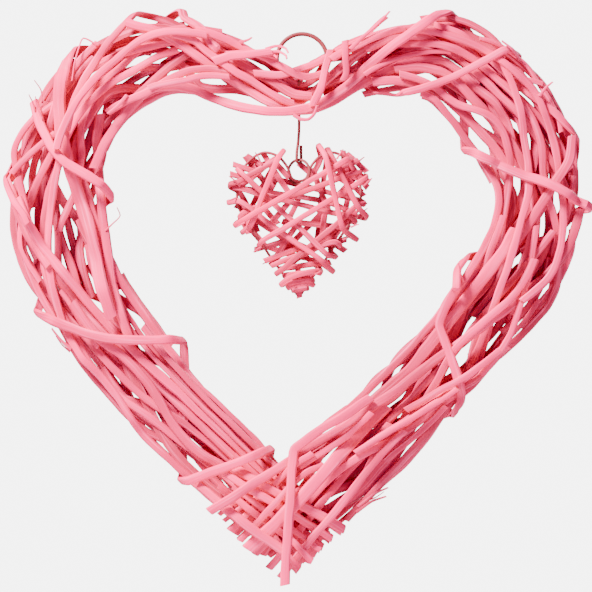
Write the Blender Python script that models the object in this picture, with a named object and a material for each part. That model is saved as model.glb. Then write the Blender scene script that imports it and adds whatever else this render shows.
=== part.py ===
"""Hanging heart of painted willow splits with a small wound heart in its window.

Metres, +Z up. The front faces -Y. The origin is the inner top of the hanging ring,
where a hook or a nail would carry the piece.
"""
import math

import bmesh
import bpy
import numpy as np

# Driving sizes, in metres
WREATH_WIDTH = 0.380
WREATH_STEPS = 583.0            # the lay-up grid has this many steps across the wreath
GRID = WREATH_WIDTH / WREATH_STEPS

BROAD_WIDTH, BROAD_THICKNESS = 0.0088, 0.0026
WIDE_WIDTH, WIDE_THICKNESS = 0.0064, 0.0024
PLAIN_WIDTH, PLAIN_THICKNESS = 0.0052, 0.0021
SLIM_WIDTH, SLIM_THICKNESS = 0.0038, 0.0018
CROWN_SHARE = 0.62              # width of a split's rounded top, as a share of its flat underside
END_SLANT = 0.14                # slant of a cut end, as a share of the split's width
LAY_GAP = 0.0004                # clear space between two splits that rest on each other
EDGE_TURN_RADIUS = 0.0075       # how a split rounds the side of the bundle

RING_RADIUS = 0.0163            # hanging ring, to the middle of its wire
RING_WIRE = 0.0026
HOOK_WIRE = 0.0017
HOOK_REACH = 0.0495             # from the ring's wire down to the link's
LINK_RADIUS = 0.0080            # small ring between hook and small heart
LINK_WIRE = 0.0015
LINK_TURN = math.radians(30)    # how far the link is turned about its upright
EYE_HALF_WIDTH = 0.0022         # the long eye that the hook wire makes round the link
EYE_LENGTH = 0.0095
EYE_TURN = math.radians(38)
HANG_SIDE = -0.0020             # the small heart hangs this far from the ring's lowest point
WIRE_GAP = 0.0004               # clear space between two wires or a wire and a split
THREAD_ROOM = 0.0027            # clear space between the hook's crook and the split through the ring

HEART_WIDTH = 0.0805            # small heart, between the middles of its wire
HEART_HEIGHT = 0.0950
HEART_WIRE = 0.0018
HEART_SPLIT_WIDTH, HEART_SPLIT_THICKNESS = 0.0048, 0.0016
DIP_OFFSET = 0.0024             # how far the heart's wire stands off the link's, in front and behind

# How the splits and wires are followed
NODE_SPACING = 0.021
NODE_TURN = math.radians(54)
LEAST_SPACING = 0.003           # places nearer than this to the one before are left out
RING_POINTS = 28
LINK_POINTS = 20
HEART_WIRE_POINTS = 56
ROUTE_SAMPLES = 40              # close-set places between two listed ones, along the middle line
SAMPLES = 24                    # the same along a split
HEART_SAMPLES = 12              # the same along the small heart's wire
SMOOTHING = 7                   # grid steps to each side over which the outward direction is evened out
EDGE_FADE = 70.0                # grid steps over which a split comes down from the side of the bundle
EDGE_REACH = 3.0                # turn radii within which a split leans round the side
DIP_SPREAD = 11.0               # hundredths of the small heart's wire that stand off the link
WINDING_TUCK = 0.25             # a winding's cut ends lie this share of a stretch in from the wire
WINDING_SLIDE = 0.7             # how far a winding moves on along the wire as it turns, in turn radii
WINDING_TURN = (-1.0, -0.34, 0.34, 1.0)

# How splits are laid over each other
CLIMB = 0.30                    # steepest rise of a split over another, rise over run
WINDING_CLIMB = 1.5             # the same for the short stretches of the small heart
TURN_CLIMB = 4.0                # how many times steeper it may come down where it turns round a side
TURNING = math.cos(math.radians(18))
LAY_ROUNDS = 60
LIFT_STEP = 1e-6
LEAST_AXIS = 0.05               # a cross product shorter than this gives no direction to part two boxes
LEAST_RISE = 0.3                # a direction nearly level with the push isn't used to part them
LEAST_PUSH = 0.9                # a stretch whose two ends are pushed apart stays where it is
OWN_STRETCHES = 3               # a winding clears its own stretches that lie further back than this
OVER_REACH = 0.012              # how far above a split the others are looked for that it lies over

# The plain back: long waves from side to side of the bundle
BACK_SPLITS = 8
BACK_SPLIT_LENGTH = 430.0       # grid steps
BACK_MARGIN = 20.0
BACK_STEP = 43.0
BACK_SWING = 0.72               # share of the bundle's half width
BACK_WAVE = 5.2                 # radians of the wave along one split
BACK_PHASE = 2.4                # radians from one split to the next

# The wreath's middle line on the lay-up grid, from the left arm's cut ends up round both lobes
# and down to the right arm's: across, down, and half the bundle's width
ORIGIN_ACROSS, ORIGIN_DOWN = 302.0, 36.0
ROUTE = [
    (318, 555, 42), (240, 477, 42), (163, 400, 40), (118, 348, 42), (82, 295, 44), (61, 240, 50),
    (58, 185, 50), (71, 130, 47), (100, 85, 44), (150, 54, 43), (200, 53, 41), (245, 73, 30),
    (300, 92, 25), (350, 68, 30), (400, 56, 44), (450, 62, 50), (491, 96, 48), (524, 140, 42),
    (538, 190, 44), (527, 240, 47), (500, 285, 42), (455, 343, 42), (402, 402, 42), (325, 479, 42),
    (252, 552, 42),
]

FRONT, BACK = 1.0, -1.0
EDGE, THROUGH = "edge", "through"
BROAD = (BROAD_WIDTH, BROAD_THICKNESS)
WIDE = (WIDE_WIDTH, WIDE_THICKNESS)
PLAIN = (PLAIN_WIDTH, PLAIN_THICKNESS)
SLIM = (SLIM_WIDTH, SLIM_THICKNESS)

# Each split: name, size, side it starts on, and the places it passes, as steps along the middle
# line and steps outward from it. EDGE marks where it turns round the side of the bundle, and
# THROUGH where it passes through the hanging ring. The list is in laying order, deepest first.
THREAD_START = [(640, 6), (700, 14), (772, 19)]
THREAD_STATION = 800
THREAD_END = [(835, 20), (905, 10), (990, 2)]
FRONT_SPLITS = [
    ("left_arm_middle", PLAIN, FRONT, [(2, -9), (70, -3), (130, -5), (200, 4), (240, 13), (325, 21),
        (412, 40)]),
    ("left_arm_outer_middle", PLAIN, FRONT, [(2, 1), (50, 2), (100, 8), (200, 19), (250, 29), (290, 32),
        (327, 27), (380, 25), (440, 12), (500, 2), (560, 4), (600, 8), (645, 18), (700, 26)]),
    ("left_inner_long", WIDE, FRONT, [(100, -34), (150, -32), (200, -34), (300, -41), (372, -40), (430, -37),
        (475, -24), (510, -10), (550, -12), (583, -12), (615, -30)]),
    ("left_arm_rising", WIDE, FRONT, [(2, -20), (100, -11), (200, -9), (300, -1), (375, 14), (425, 32),
        (466, 50, EDGE), (500, 30), (540, 10)]),
    ("left_arm_rising_wide", WIDE, FRONT, [(0, -34), (45, -26), (100, -21), (200, -18), (300, -8),
        (375, 5), (452, 38)]),
    ("left_lobe_inner_cross", WIDE, FRONT, [(600, -33), (640, -24), (668, -8), (690, 6), (735, -3),
        (778, -14), (805, -4), (850, 6), (905, 26)]),
    ("left_lobe_cross_high", PLAIN, FRONT, [(340, 36), (400, 38), (425, 36), (475, 17), (505, 8),
        (550, 2), (600, 0), (645, 12), (690, 24)]),
    ("left_arm_long_outer", PLAIN, FRONT, [(2, 9), (30, 21), (60, 29), (100, 34), (205, 38), (230, 35),
        (262, 30), (290, 32), (310, 34), (350, 27), (400, 15), (460, 3), (520, 0), (575, -6), (620, -9),
        (665, 0)]),
    ("left_lobe_inner_sweep", WIDE, FRONT, [(285, -15), (330, -28), (375, -40), (425, -46), (475, -41),
        (525, -28), (553, -19)]),
    ("left_lobe_broad", BROAD, FRONT, [(315, -14), (375, -28), (425, -30), (475, -15), (525, 11),
        (577, 43, EDGE), (600, 25), (640, 5)]),
    ("left_lobe_corner", PLAIN, FRONT, [(520, 2), (560, 10), (610, 28), (636, 43, EDGE), (665, 25),
        (700, 5)]),
    ("dip_diagonal", WIDE, FRONT, [(627, 36), (655, 13), (690, -6), (725, -12), (792, -19), (850, -20),
        (900, -10), (945, -2), (980, -6), (1022, -2), (1060, -12)]),
    ("dip_bent", WIDE, BACK, [(640, 20), (668, 31, EDGE), (685, 22), (697, 9), (725, 7), (775, 1),
        (805, -8)]),
    ("dip_upper", PLAIN, FRONT, [(745, 2), (770, 12), (795, 22), (838, 19), (880, 23), (928, 27),
        (975, 17), (1025, 19), (1100, 35)]),
    ("right_lobe_low_sweep", WIDE, FRONT, [(868, -20), (930, -30), (1000, -33), (1090, -27), (1130, -34),
        (1200, -30), (1280, -26)]),
    ("right_inner_long", PLAIN, FRONT, [(925, -37), (975, -43), (1030, -48), (1075, -45), (1125, -39),
        (1180, -36), (1270, -31), (1350, -31), (1440, -35)]),
    ("right_lobe_middle", WIDE, FRONT, [(895, -13), (955, -13), (1000, -16), (1050, -14), (1100, -8),
        (1150, 3), (1222, 27)]),
    ("right_lobe_arch", PLAIN, FRONT, [(870, 12), (920, 18), (965, 6), (1030, 8), (1090, 18),
        (1130, 36)]),
    ("right_lobe_corner", PLAIN, FRONT, [(932, 31), (985, 25), (1030, 30), (1079, 50, EDGE), (1105, 36),
        (1150, 20)]),
    ("right_side_hump", PLAIN, FRONT, [(1108, 2), (1140, 19), (1170, 37), (1203, 51), (1250, 46),
        (1325, 33)]),
    ("right_side_falling", WIDE, FRONT, [(1076, 45), (1095, 33), (1112, 13), (1145, -3), (1175, -10)]),
    ("right_arm_broad", BROAD, FRONT, [(1160, -14), (1210, -18), (1290, -19), (1345, -16), (1395, -21),
        (1470, -22), (1583, -28)]),
    ("right_arm_middle", PLAIN, FRONT, [(1150, 22), (1180, 12), (1240, 5), (1330, 5), (1455, -1),
        (1520, -14), (1583, -18)]),
    ("right_arm_low_outer", PLAIN, FRONT, [(1395, 6), (1430, 9), (1505, 14), (1555, 21), (1583, 23)]),
    ("tip_end_wide", WIDE, FRONT, [(-2, -37), (23, -32), (44, -26), (65, -18), (92, -11), (128, -2)]),
    ("tip_end_middle", PLAIN, FRONT, [(2, -22), (23, -18), (44, -13), (70, -7), (100, 1), (130, 8)]),
    ("right_arm_tip_broad", BROAD, FRONT, [(1385, -9), (1440, -8), (1515, -5), (1583, -6)]),
    ("right_long_wave", PLAIN, FRONT, [(985, 33), (1022, 19), (1065, -1), (1130, -12), (1175, -11),
        (1225, 2), (1290, 24), (1335, 36), (1400, 41), (1495, 44)]),
    ("right_arm_slant", PLAIN, FRONT, [(1325, 34), (1355, 29), (1400, 20), (1455, 4), (1520, 3),
        (1583, 3)]),
    ("left_arm_low_end", WIDE, FRONT, [(24, 18), (48, 23), (75, 27), (103, 31), (135, 33)]),
    ("right_arm_high_outer", PLAIN, FRONT, [(1390, 21), (1425, 21), (1475, 27), (1525, 31), (1581, 37)]),
    ("right_arm_long_slant", WIDE, FRONT, [(1128, 43), (1163, 40), (1200, 29), (1300, 0), (1400, -19),
        (1480, -36), (1583, -60)]),
    ("tip_upright", WIDE, FRONT, [(1390, -26), (1415, -31), (1442, -38), (1468, -42), (1483, -42),
        (1510, -18), (1550, 16), (1581, 44)]),
    ("inner_sag", WIDE, FRONT, [(490, -34), (560, -39), (618, -34), (690, -37), (750, -33), (795, -19),
        (850, -13), (885, 4), (915, 22), (941, 48, EDGE), (965, 30), (1000, 10)]),
    ("left_lobe_inner_tail", PLAIN, FRONT, [(559, -24), (600, -33), (640, -34), (690, -17), (725, -6)]),
    ("dip_tie", PLAIN, FRONT, [(803, -17), (842, 24)]),
]
# Splits of the right arm that lie over all that is laid before them where the two arms cross
TIP_LEVEL = -440.0 * GRID
OVERLYING = ("right_arm_tip_broad", "left_arm_low_end", "right_arm_high_outer", "right_arm_long_slant",
    "tip_upright")
BINDERS = [
    ("tip_binder", WIDE, BACK, [(185, 10), (150, 43, EDGE), (128, 2), (108, -43, EDGE), (85, -5)]),
    ("left_arm_binder", WIDE, BACK, [(385, 10), (357, 49, EDGE), (300, 0), (262, -45), (250, -56, EDGE),
        (225, -35), (190, 0)]),
    ("left_lobe_binder", WIDE, BACK, [(425, -20), (455, -53, EDGE), (475, -38), (495, 3), (533, 45)]),
    ("right_lobe_binder", PLAIN, BACK, [(855, -5), (872, -28, EDGE), (905, -38), (957, -20), (975, 8),
        (985, 38), (997, 49, EDGE), (1020, 30)]),
    ("right_side_binder", WIDE, BACK, [(1000, -30), (1034, -57, EDGE), (1075, -35), (1100, -10),
        (1127, 45, EDGE), (1150, 25), (1180, 0)]),
    ("right_arm_binder", WIDE, BACK, [(1190, -15), (1215, -37, EDGE), (1250, -34), (1285, -26),
        (1302, -2), (1325, 36), (1345, 45, EDGE), (1370, 25), (1400, 5)]),
]

# Gaps that one sees through, which the plain back leaves open: station, across, half length, half width
GAP_EASE = 20.0                 # grid steps over which a split of the back turns aside for a gap
GAP_MARGIN = 1.0
GAPS = [
    (224, 33, 6, 4), (254, 19, 8, 5), (266, -18, 10, 4), (298, -32, 20, 3), (332, 35, 8, 4),
    (340, -10, 15, 6), (388, 5, 4, 3), (400, 9, 5, 3), (426, 22, 4, 3), (427, -10, 15, 6),
    (446, 12, 6, 3), (470, 28, 13, 6), (472, -7, 10, 6), (517, -13, 10, 4), (536, 0, 9, 3),
    (557, -20, 10, 4), (582, -28, 12, 4), (608, -18, 14, 6), (638, 40, 6, 3), (695, -17, 5, 3),
    (727, -24, 22, 3), (815, 14, 7, 3), (888, -31, 11, 3), (942, 5, 6, 3), (996, -23, 8, 3),
    (1009, 36, 6, 3), (1026, 26, 5, 3), (1030, -23, 9, 4), (1047, -39, 20, 5), (1072, 6, 4, 3),
    (1152, 10, 8, 4),
    (1194, -2, 9, 4), (1211, 37, 8, 6), (1256, 22, 13, 6), (1295, 15, 12, 5), (1372, -27, 17, 3),
    (1389, 10, 5, 3), (1476, 20, 9, 4),
]

# Right half of the small heart's wire, from dip to tip: shares of half its width and of its height
HEART_HALF = [
    (0, .215), (.115, .195), (.165, .14), (.235, .09), (.36, .04), (.58, .02), (.8, .075), (.95, .17),
    (1, .28), (.97, .4), (.78, .53), (.62, .63), (.46, .735), (.26, .85), (.1, .95), (0, 1),
]
# Windings of the small heart, deepest first: hundredths of the way round its wire, clockwise from the
# dip. Each starts and ends behind the heart, and its stretches lie behind and in front by turns.
WINDINGS = [
    ("heart_winding_first", [39.5, 72.0, 18.3, 59.2, 35.4, 58.0]),
    ("heart_winding_deep", [25.5, 78.4, 29.2, 57.0, 24.9, 82.8]),
    ("heart_winding_left", [63.5, 78.8, 92.6, 82.5, 38.3, 27.2, 9.7, 45.0]),
    ("heart_winding_cross", [94.4, 69.0, 92.6, 71.2, 15.0, 32.2, 8.3, 61.2]),
    ("heart_winding_broad", [43.0, 53.0, 46.3, 54.3, 42.8, 75.5, 40.9, 64.2, 19.6, 11.0]),
]


# Places that follow from the hanging ring, whose inner top is the origin
RING_MIDDLE = np.array([0.0, 0.0, -(RING_RADIUS - RING_WIRE / 2)])
RING_FOOT = np.array([HANG_SIDE, 0.0, RING_MIDDLE[2] - math.sqrt(RING_RADIUS ** 2 - HANG_SIDE ** 2)])
CROOK_RADIUS = RING_WIRE / 2 + WIRE_GAP + HOOK_WIRE / 2
LINK_TOP = RING_FOOT - np.array([0.0, 0.0, HOOK_REACH])
LINK_MIDDLE = LINK_TOP - np.array([0.0, 0.0, LINK_RADIUS])
HEART_DIP = LINK_MIDDLE - np.array([0.0, 0.0, LINK_RADIUS - LINK_WIRE / 2 - WIRE_GAP - HEART_WIRE / 2])


def smooth_route(points, samples):
    """Points on the smooth curve through the given ones, evenly spread in its parameter."""
    knots = [np.asarray(point, dtype=float) for point in points]
    knots = [2 * knots[0] - knots[1]] + knots + [2 * knots[-1] - knots[-2]]
    curve = []
    for before, start, end, after in zip(knots, knots[1:], knots[2:], knots[3:]):
        for step in range(samples):
            t = step / samples
            curve.append(0.5 * (2 * start + (end - before) * t
                                + (2 * before - 5 * start + 4 * end - after) * t * t
                                + (3 * start - before - 3 * end + after) * t ** 3))
    curve.append(knots[-2])
    return np.array(curve)


class MiddleLine:
    """The wreath's middle line: station in grid steps to place and outward direction."""

    def __init__(self):
        curve = smooth_route(ROUTE, ROUTE_SAMPLES)
        lengths = np.hypot(*np.diff(curve[:, :2], axis=0).T)
        stations = np.concatenate([[0.0], np.cumsum(lengths)])
        self.length = stations[-1]
        self.stations = np.linspace(0.0, self.length, int(self.length) + 1)
        columns = [np.interp(self.stations, stations, curve[:, k]) for k in range(3)]
        self.x = (columns[0] - ORIGIN_ACROSS) * GRID
        self.z = (ORIGIN_DOWN - columns[1]) * GRID
        self.half_width = columns[2]
        window = np.ones(2 * SMOOTHING + 1) / (2 * SMOOTHING + 1)
        along_x = np.convolve(np.pad(np.gradient(self.x), SMOOTHING, "edge"), window, "valid")
        along_z = np.convolve(np.pad(np.gradient(self.z), SMOOTHING, "edge"), window, "valid")
        run = np.hypot(along_x, along_z)
        self.out_x, self.out_z = -along_z / run, along_x / run

    def outward(self, station):
        return np.array([np.interp(station, self.stations, self.out_x), 0.0,
                         np.interp(station, self.stations, self.out_z)])

    def place(self, station, across):
        middle = np.array([np.interp(station, self.stations, self.x), 0.0,
                           np.interp(station, self.stations, self.z)])
        return middle + self.outward(station) * across * GRID

    def reach(self, station):
        return np.interp(station, self.stations, self.half_width)


def places_along(row, line):
    """Close-set places along a split: base point, face direction, push direction, and fixed places."""
    _, _, side, knots = row
    turn, shift = 1.0, 0.0
    flat, stretches, edges = [], [], []
    fold = None
    for knot in knots:
        station, across = knot[0], knot[1]
        mark = knot[2] if len(knot) > 2 else None
        level = turn * across + shift
        flat.append((station, level))
        if mark == EDGE:
            turn = -turn
            shift = level - turn * across
            edges.append((station, across, len(flat) - 1))
        if mark == THROUGH:
            fold = len(flat) - 1
        if mark in (EDGE, THROUGH):
            side = -side
        stretches.append((turn, shift, side))
    curve = smooth_route([(station, level) for station, level in flat], SAMPLES)
    radius = EDGE_TURN_RADIUS / GRID
    base, face, push = [], [], []
    for count, (station, level) in enumerate(curve):
        stretch = min(count // SAMPLES, len(stretches) - 2)
        turn, shift, side = stretches[stretch]
        across = (level - shift) / turn
        front = np.array([0.0, -side, 0.0])
        normal, depth = front, 0.0
        for edge_station, edge_across, edge_knot in edges:
            beside = edge_knot - 1 <= count / SAMPLES <= edge_knot + 1
            if not beside and abs(station - edge_station) > EDGE_REACH * radius:
                continue
            sign = math.copysign(1.0, edge_across)
            inside = (edge_across - across) * sign
            away = math.hypot(station - edge_station, edge_across - across)
            if away > EDGE_FADE:
                continue
            if inside < 0.0:
                across, inside = edge_across, 0.0
            lean = min(max(1.0 - inside / radius, 0.0), 1.0) if away < EDGE_REACH * radius else 0.0
            upright = math.sqrt(1.0 - lean * lean)
            ease = min(max((EDGE_FADE - away) / (EDGE_FADE - radius), 0.0), 1.0)
            height = EDGE_TURN_RADIUS * upright * ease * ease * (3 - 2 * ease)
            if height > depth or lean > 0.0:
                depth = height
                normal = front * upright + line.outward(station) * sign * lean
        base.append(line.place(station, across) + front * depth)
        face.append(normal if fold is None else np.array([0.0, -1.0, 0.0]))
        push.append(normal * (0.0 if fold is not None and count == fold * SAMPLES else 1.0))
    fixed = [0, len(curve) - 1] + [knot * SAMPLES for _, _, knot in edges]
    if fold is not None:
        fixed.append(fold * SAMPLES)
    return np.array(base), np.array(face), np.array(push), sorted(set(fixed))


def pick_places(base, face, push, fixed):
    """Thins the close-set places: far apart on straight runs, closer where the split turns."""
    steps = np.diff(base, axis=0)
    length = np.linalg.norm(steps, axis=1)
    along = steps / np.maximum(length, 1e-9)[:, None]
    bend = np.arccos(np.clip((along[1:] * along[:-1]).sum(axis=1), -1, 1))
    facing = face / np.linalg.norm(face, axis=1)[:, None]
    roll = np.arccos(np.clip((facing[1:] * facing[:-1]).sum(axis=1), -1, 1))
    effort = length / NODE_SPACING + roll / NODE_TURN
    effort[1:] += bend / NODE_TURN
    run = np.concatenate([[0.0], np.cumsum(effort)])
    reached = np.concatenate([[0.0], np.cumsum(length)])
    chosen = []
    for start, end in zip(fixed, fixed[1:]):
        count = max(1, round(run[end] - run[start]))
        marks = np.linspace(run[start], run[end], count + 1)[:-1]
        chosen += [int(np.searchsorted(run, mark)) for mark in marks]
    kept = []
    for place in sorted(set(chosen + [fixed[-1]])):
        if kept and reached[place] - reached[kept[-1]] < LEAST_SPACING:
            if place not in fixed:
                continue
            if kept[-1] not in fixed:
                kept.pop()
        kept.append(place)
    return base[kept], face[kept], push[kept]


def sections(points, face, size):
    """Cross-sections of a split: a flat underside, a narrower top, and ends cut a little slantwise."""
    width, thickness = size
    along = np.gradient(points, axis=0)
    along /= np.linalg.norm(along, axis=1)[:, None]
    up = face - (face * along).sum(axis=1)[:, None] * along
    up /= np.linalg.norm(up, axis=1)[:, None]
    across = np.cross(along, up)
    half, crown, rise = width / 2, width * CROWN_SHARE / 2, thickness / 2
    corners = [(-half, -rise), (half, -rise), (crown, rise), (-crown, rise)]
    rings = np.stack([points + across * a + up * u for a, u in corners], axis=1)
    slant = width * END_SLANT * np.array([1.0, -1.0, -1.0, 1.0])[:, None]
    rings[0] -= along[0] * slant
    rings[-1] += along[-1] * slant
    return rings


def boxes(rings, face):
    """The oriented box round each stretch between two cross-sections: middle, axes and half sizes."""
    corners = np.concatenate([rings[:-1], rings[1:]], axis=1)
    middle = corners.mean(axis=1)
    along = rings[1:].mean(axis=1) - rings[:-1].mean(axis=1)
    along /= np.linalg.norm(along, axis=1)[:, None]
    facing = face / np.linalg.norm(face, axis=1)[:, None]
    up = facing[:-1] + facing[1:]
    up -= (up * along).sum(axis=1)[:, None] * along
    up /= np.linalg.norm(up, axis=1)[:, None]
    axes = np.stack([along, up, np.cross(along, up)], axis=1)
    spread = np.einsum("sck,sak->sca", corners - middle[:, None], axes)
    low, high = spread.min(axis=1), spread.max(axis=1)
    middle = middle + np.einsum("sa,sak->sk", (low + high) / 2, axes)
    return middle, axes, (high - low) / 2


def needed_lift(new, old, push, own=False, over=False):
    """How far each new stretch must move along its push to clear the boxes already laid, or its own.

    A stretch marked over doesn't pass below any of them either.
    """
    lift = np.zeros(len(new[0]))
    over = np.broadcast_to(over, lift.shape)
    if not len(old[0]):
        return lift
    reach_new = np.linalg.norm(new[2], axis=1)
    reach_old = np.linalg.norm(old[2], axis=1)
    apart = np.linalg.norm(new[0][:, None] - old[0][None], axis=2)
    near = apart < reach_new[:, None] + reach_old[None] + LAY_GAP + OVER_REACH * over[:, None]
    if own:
        near &= np.tri(*near.shape, k=-OWN_STRETCHES - 1, dtype=bool)
    i, j = np.nonzero(near)
    if not len(i):
        return lift
    crosses = np.cross(new[1][i][:, :, None], old[1][j][:, None]).reshape(-1, 9, 3)
    axes = np.concatenate([new[1][i], old[1][j], crosses], axis=1)
    size = np.linalg.norm(axes, axis=2)
    usable = size > LEAST_AXIS
    axes /= np.maximum(size, LEAST_AXIS)[:, :, None]
    reach = (np.abs(np.einsum("pak,pbk->pab", axes, new[1][i])) * new[2][i][:, None]).sum(axis=2)
    reach += (np.abs(np.einsum("pak,pbk->pab", axes, old[1][j])) * old[2][j][:, None]).sum(axis=2)
    offset = np.einsum("pak,pk->pa", axes, new[0][i] - old[0][j])
    rise = np.einsum("pak,pk->pa", axes, push[i])
    offset, rise = np.where(rise < 0, -offset, offset), np.abs(rise)
    beyond = np.where(over[i][:, None] & (rise > LEAST_RISE), offset, np.abs(offset))
    apart = ((beyond >= reach + LAY_GAP - 1e-9) & usable).any(axis=1)
    climb = (reach + LAY_GAP - offset) / np.maximum(rise, LEAST_RISE)
    climb = np.where(usable & (rise > LEAST_RISE), climb, np.inf)
    climb = np.where(apart, 0.0, climb.min(axis=1))
    np.maximum.at(lift, i, climb)
    return lift


def lay(base, face, push, size, laid, climb, winding=False, over=False):
    """Raises a split's places along their push until it clears everything laid before it."""
    height = np.zeros(len(base))
    spacing = np.linalg.norm(np.diff(base, axis=0), axis=1)
    middle_push = push[:-1] + push[1:]
    strength = np.linalg.norm(middle_push, axis=1)
    facing = face / np.linalg.norm(face, axis=1)[:, None]
    turning = (facing[1:] * facing[:-1]).sum(axis=1) < TURNING
    fall = spacing * climb * np.where(turning, TURN_CLIMB, 1.0)
    middle_push /= np.maximum(strength, 1e-6)[:, None]
    for _ in range(LAY_ROUNDS):
        points = base + push * height[:, None]
        stretches = boxes(sections(points, face, size), face)
        lift = needed_lift(stretches, laid, middle_push, over=over)
        if winding:
            lift = np.maximum(lift, needed_lift(stretches, stretches, middle_push, own=True))
        lift[strength < LEAST_PUSH] = 0.0
        if lift.max() < LIFT_STEP:
            break
        raised = np.zeros(len(height))
        raised[:-1] = lift
        raised[1:] = np.maximum(raised[1:], lift)
        height += raised
        for k in range(1, len(height)):
            height[k] = max(height[k], height[k - 1] - fall[k - 1])
        for k in range(len(height) - 2, -1, -1):
            height[k] = max(height[k], height[k + 1] - fall[k])
    return base + push * height[:, None]


def threaded_row(line):
    """The split that passes through the hanging ring, clear of the crook that hangs on the ring's wire."""
    rise = CROOK_RADIUS + HOOK_WIRE / 2 + THREAD_ROOM + SLIM_WIDTH / 2
    across = (RING_FOOT[2] + rise - line.place(THREAD_STATION, 0.0)[2]) / GRID
    return "threaded_split", SLIM, BACK, THREAD_START + [(THREAD_STATION, across, THROUGH)] + THREAD_END


def beside_gaps(station, across, half_width):
    """Moves a place aside from the gaps that stay open, and back to its own lane past them."""
    for gap_station, gap_across, half_length, half_gap in GAPS:
        away = abs(station - gap_station) - half_length
        if away >= GAP_EASE:
            continue
        clear = half_gap + half_width + GAP_MARGIN
        short = clear - abs(across - gap_across)
        if short > 0.0:
            share = min((GAP_EASE - away) / GAP_EASE, 1.0)
            across += math.copysign(short, across - gap_across) * share * share * (3 - 2 * share)
    return across


def back_row(count, line):
    """A split of the plain back: a long wave from side to side, set off from its neighbours."""
    start = BACK_MARGIN + (line.length - 2 * BACK_MARGIN - BACK_SPLIT_LENGTH) * count / (BACK_SPLITS - 1)
    half_width = WIDE_WIDTH / GRID / 2
    knots = []
    for station in np.linspace(start, start + BACK_SPLIT_LENGTH, round(BACK_SPLIT_LENGTH / BACK_STEP) + 1):
        swing = math.sin(BACK_PHASE * count + BACK_WAVE * (station - start) / BACK_SPLIT_LENGTH)
        across = BACK_SWING * line.reach(station) * swing
        knots.append((station, beside_gaps(station, across, half_width)))
    return f"back_split_{count + 1}", WIDE, BACK, knots


def wire_boxes(points, diameter):
    """A wire's stretches as oriented boxes, so that splits are laid over it."""
    points = np.asarray(points, dtype=float)
    along = np.gradient(points, axis=0)
    along /= np.linalg.norm(along, axis=1)[:, None]
    up = np.array([0.31, 0.27, 0.91])
    face, rings = [], []
    for place, direction in zip(points, along):
        up = up - up.dot(direction) * direction
        up /= np.linalg.norm(up)
        across = np.cross(direction, up)
        face.append(up)
        corners = ((-1, -1), (1, -1), (1, 1), (-1, 1))
        rings.append([place + (across * a + up * u) * diameter / 2 for a, u in corners])
    return boxes(np.array(rings), np.array(face))


def joined(first, second):
    """Two sets of boxes as one."""
    return tuple(np.concatenate(pair) for pair in zip(first, second))


def circle_points(middle, radius, count, turned=0.0):
    """Points round an upright circle, closed on itself, that faces front or is turned aside."""
    turns = np.linspace(0.0, 2 * math.pi, count + 1)
    level = radius * np.cos(turns)
    return np.stack([middle[0] + level * math.cos(turned), middle[1] - level * math.sin(turned),
                     middle[2] + radius * np.sin(turns)], axis=1)


def hook_points():
    """Hook wire: over the hanging ring's wire, straight down, and round the link's top in a long eye."""
    down = np.array([0.0, 0.0, -1.0])
    points = []
    for degrees in (215, 180, 135, 90, 45, 0, -40):
        turn = math.radians(degrees)
        points.append(RING_FOOT + CROOK_RADIUS * np.array([0.0, math.cos(turn), math.sin(turn)]))
    points.append(RING_FOOT + down * 3 * CROOK_RADIUS)
    lean = np.array([math.sin(EYE_TURN), math.cos(EYE_TURN), 0.0])
    points.append(LINK_TOP - down * (EYE_LENGTH + 4 * EYE_HALF_WIDTH))
    points.append(LINK_TOP - down * (EYE_LENGTH + EYE_HALF_WIDTH) - lean * EYE_HALF_WIDTH / 3)
    points.append(LINK_TOP - down * EYE_LENGTH / 2 - lean * EYE_HALF_WIDTH)
    for degrees in (180, 225, 270, 315, 360):
        turn = math.radians(degrees)
        points.append(LINK_TOP + EYE_HALF_WIDTH * (lean * math.cos(turn) - down * math.sin(turn)))
    points.append(LINK_TOP - down * EYE_LENGTH / 2 + lean * EYE_HALF_WIDTH)
    points.append(LINK_TOP - down * EYE_LENGTH + lean * (HOOK_WIRE + WIRE_GAP))
    return np.array(points)


class HeartWire:
    """The small heart's wire: hundredths of the way round to place, direction and outward normal."""

    def __init__(self):
        shares = HEART_HALF + [(-across, down) for across, down in HEART_HALF[-2:0:-1]]
        dip = HEART_HALF[0][1]
        keys = [(across * HEART_WIDTH / 2, (dip - down) * HEART_HEIGHT) for across, down in shares]
        curve = smooth_route(keys[-1:] + keys + keys[:2], HEART_SAMPLES)[HEART_SAMPLES:-HEART_SAMPLES]
        length = np.hypot(*np.diff(curve, axis=0).T)
        run = np.concatenate([[0.0], np.cumsum(length)])
        self.marks = run / run[-1] * 100.0
        before_dip = np.clip((100.0 - self.marks) / DIP_SPREAD, 0.0, 1.0)
        after_dip = np.clip(self.marks / DIP_SPREAD, 0.0, 1.0)
        depth = DIP_OFFSET * (np.sin(after_dip * math.pi) - np.sin(before_dip * math.pi))
        self.curve = np.stack([HEART_DIP[0] + curve[:, 0], depth, HEART_DIP[2] + curve[:, 1]], axis=1)

    def place(self, mark):
        return np.array([np.interp(mark, self.marks, self.curve[:, k]) for k in range(3)])

    def points(self):
        return np.array([self.place(mark) for mark in np.linspace(0.0, 100.0, HEART_WIRE_POINTS + 1)])

    def direction(self, mark):
        step = self.place(min(mark + 0.4, 100.0)) - self.place(max(mark - 0.4, 0.0))
        step[1] = 0.0
        return step / np.linalg.norm(step)


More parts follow.
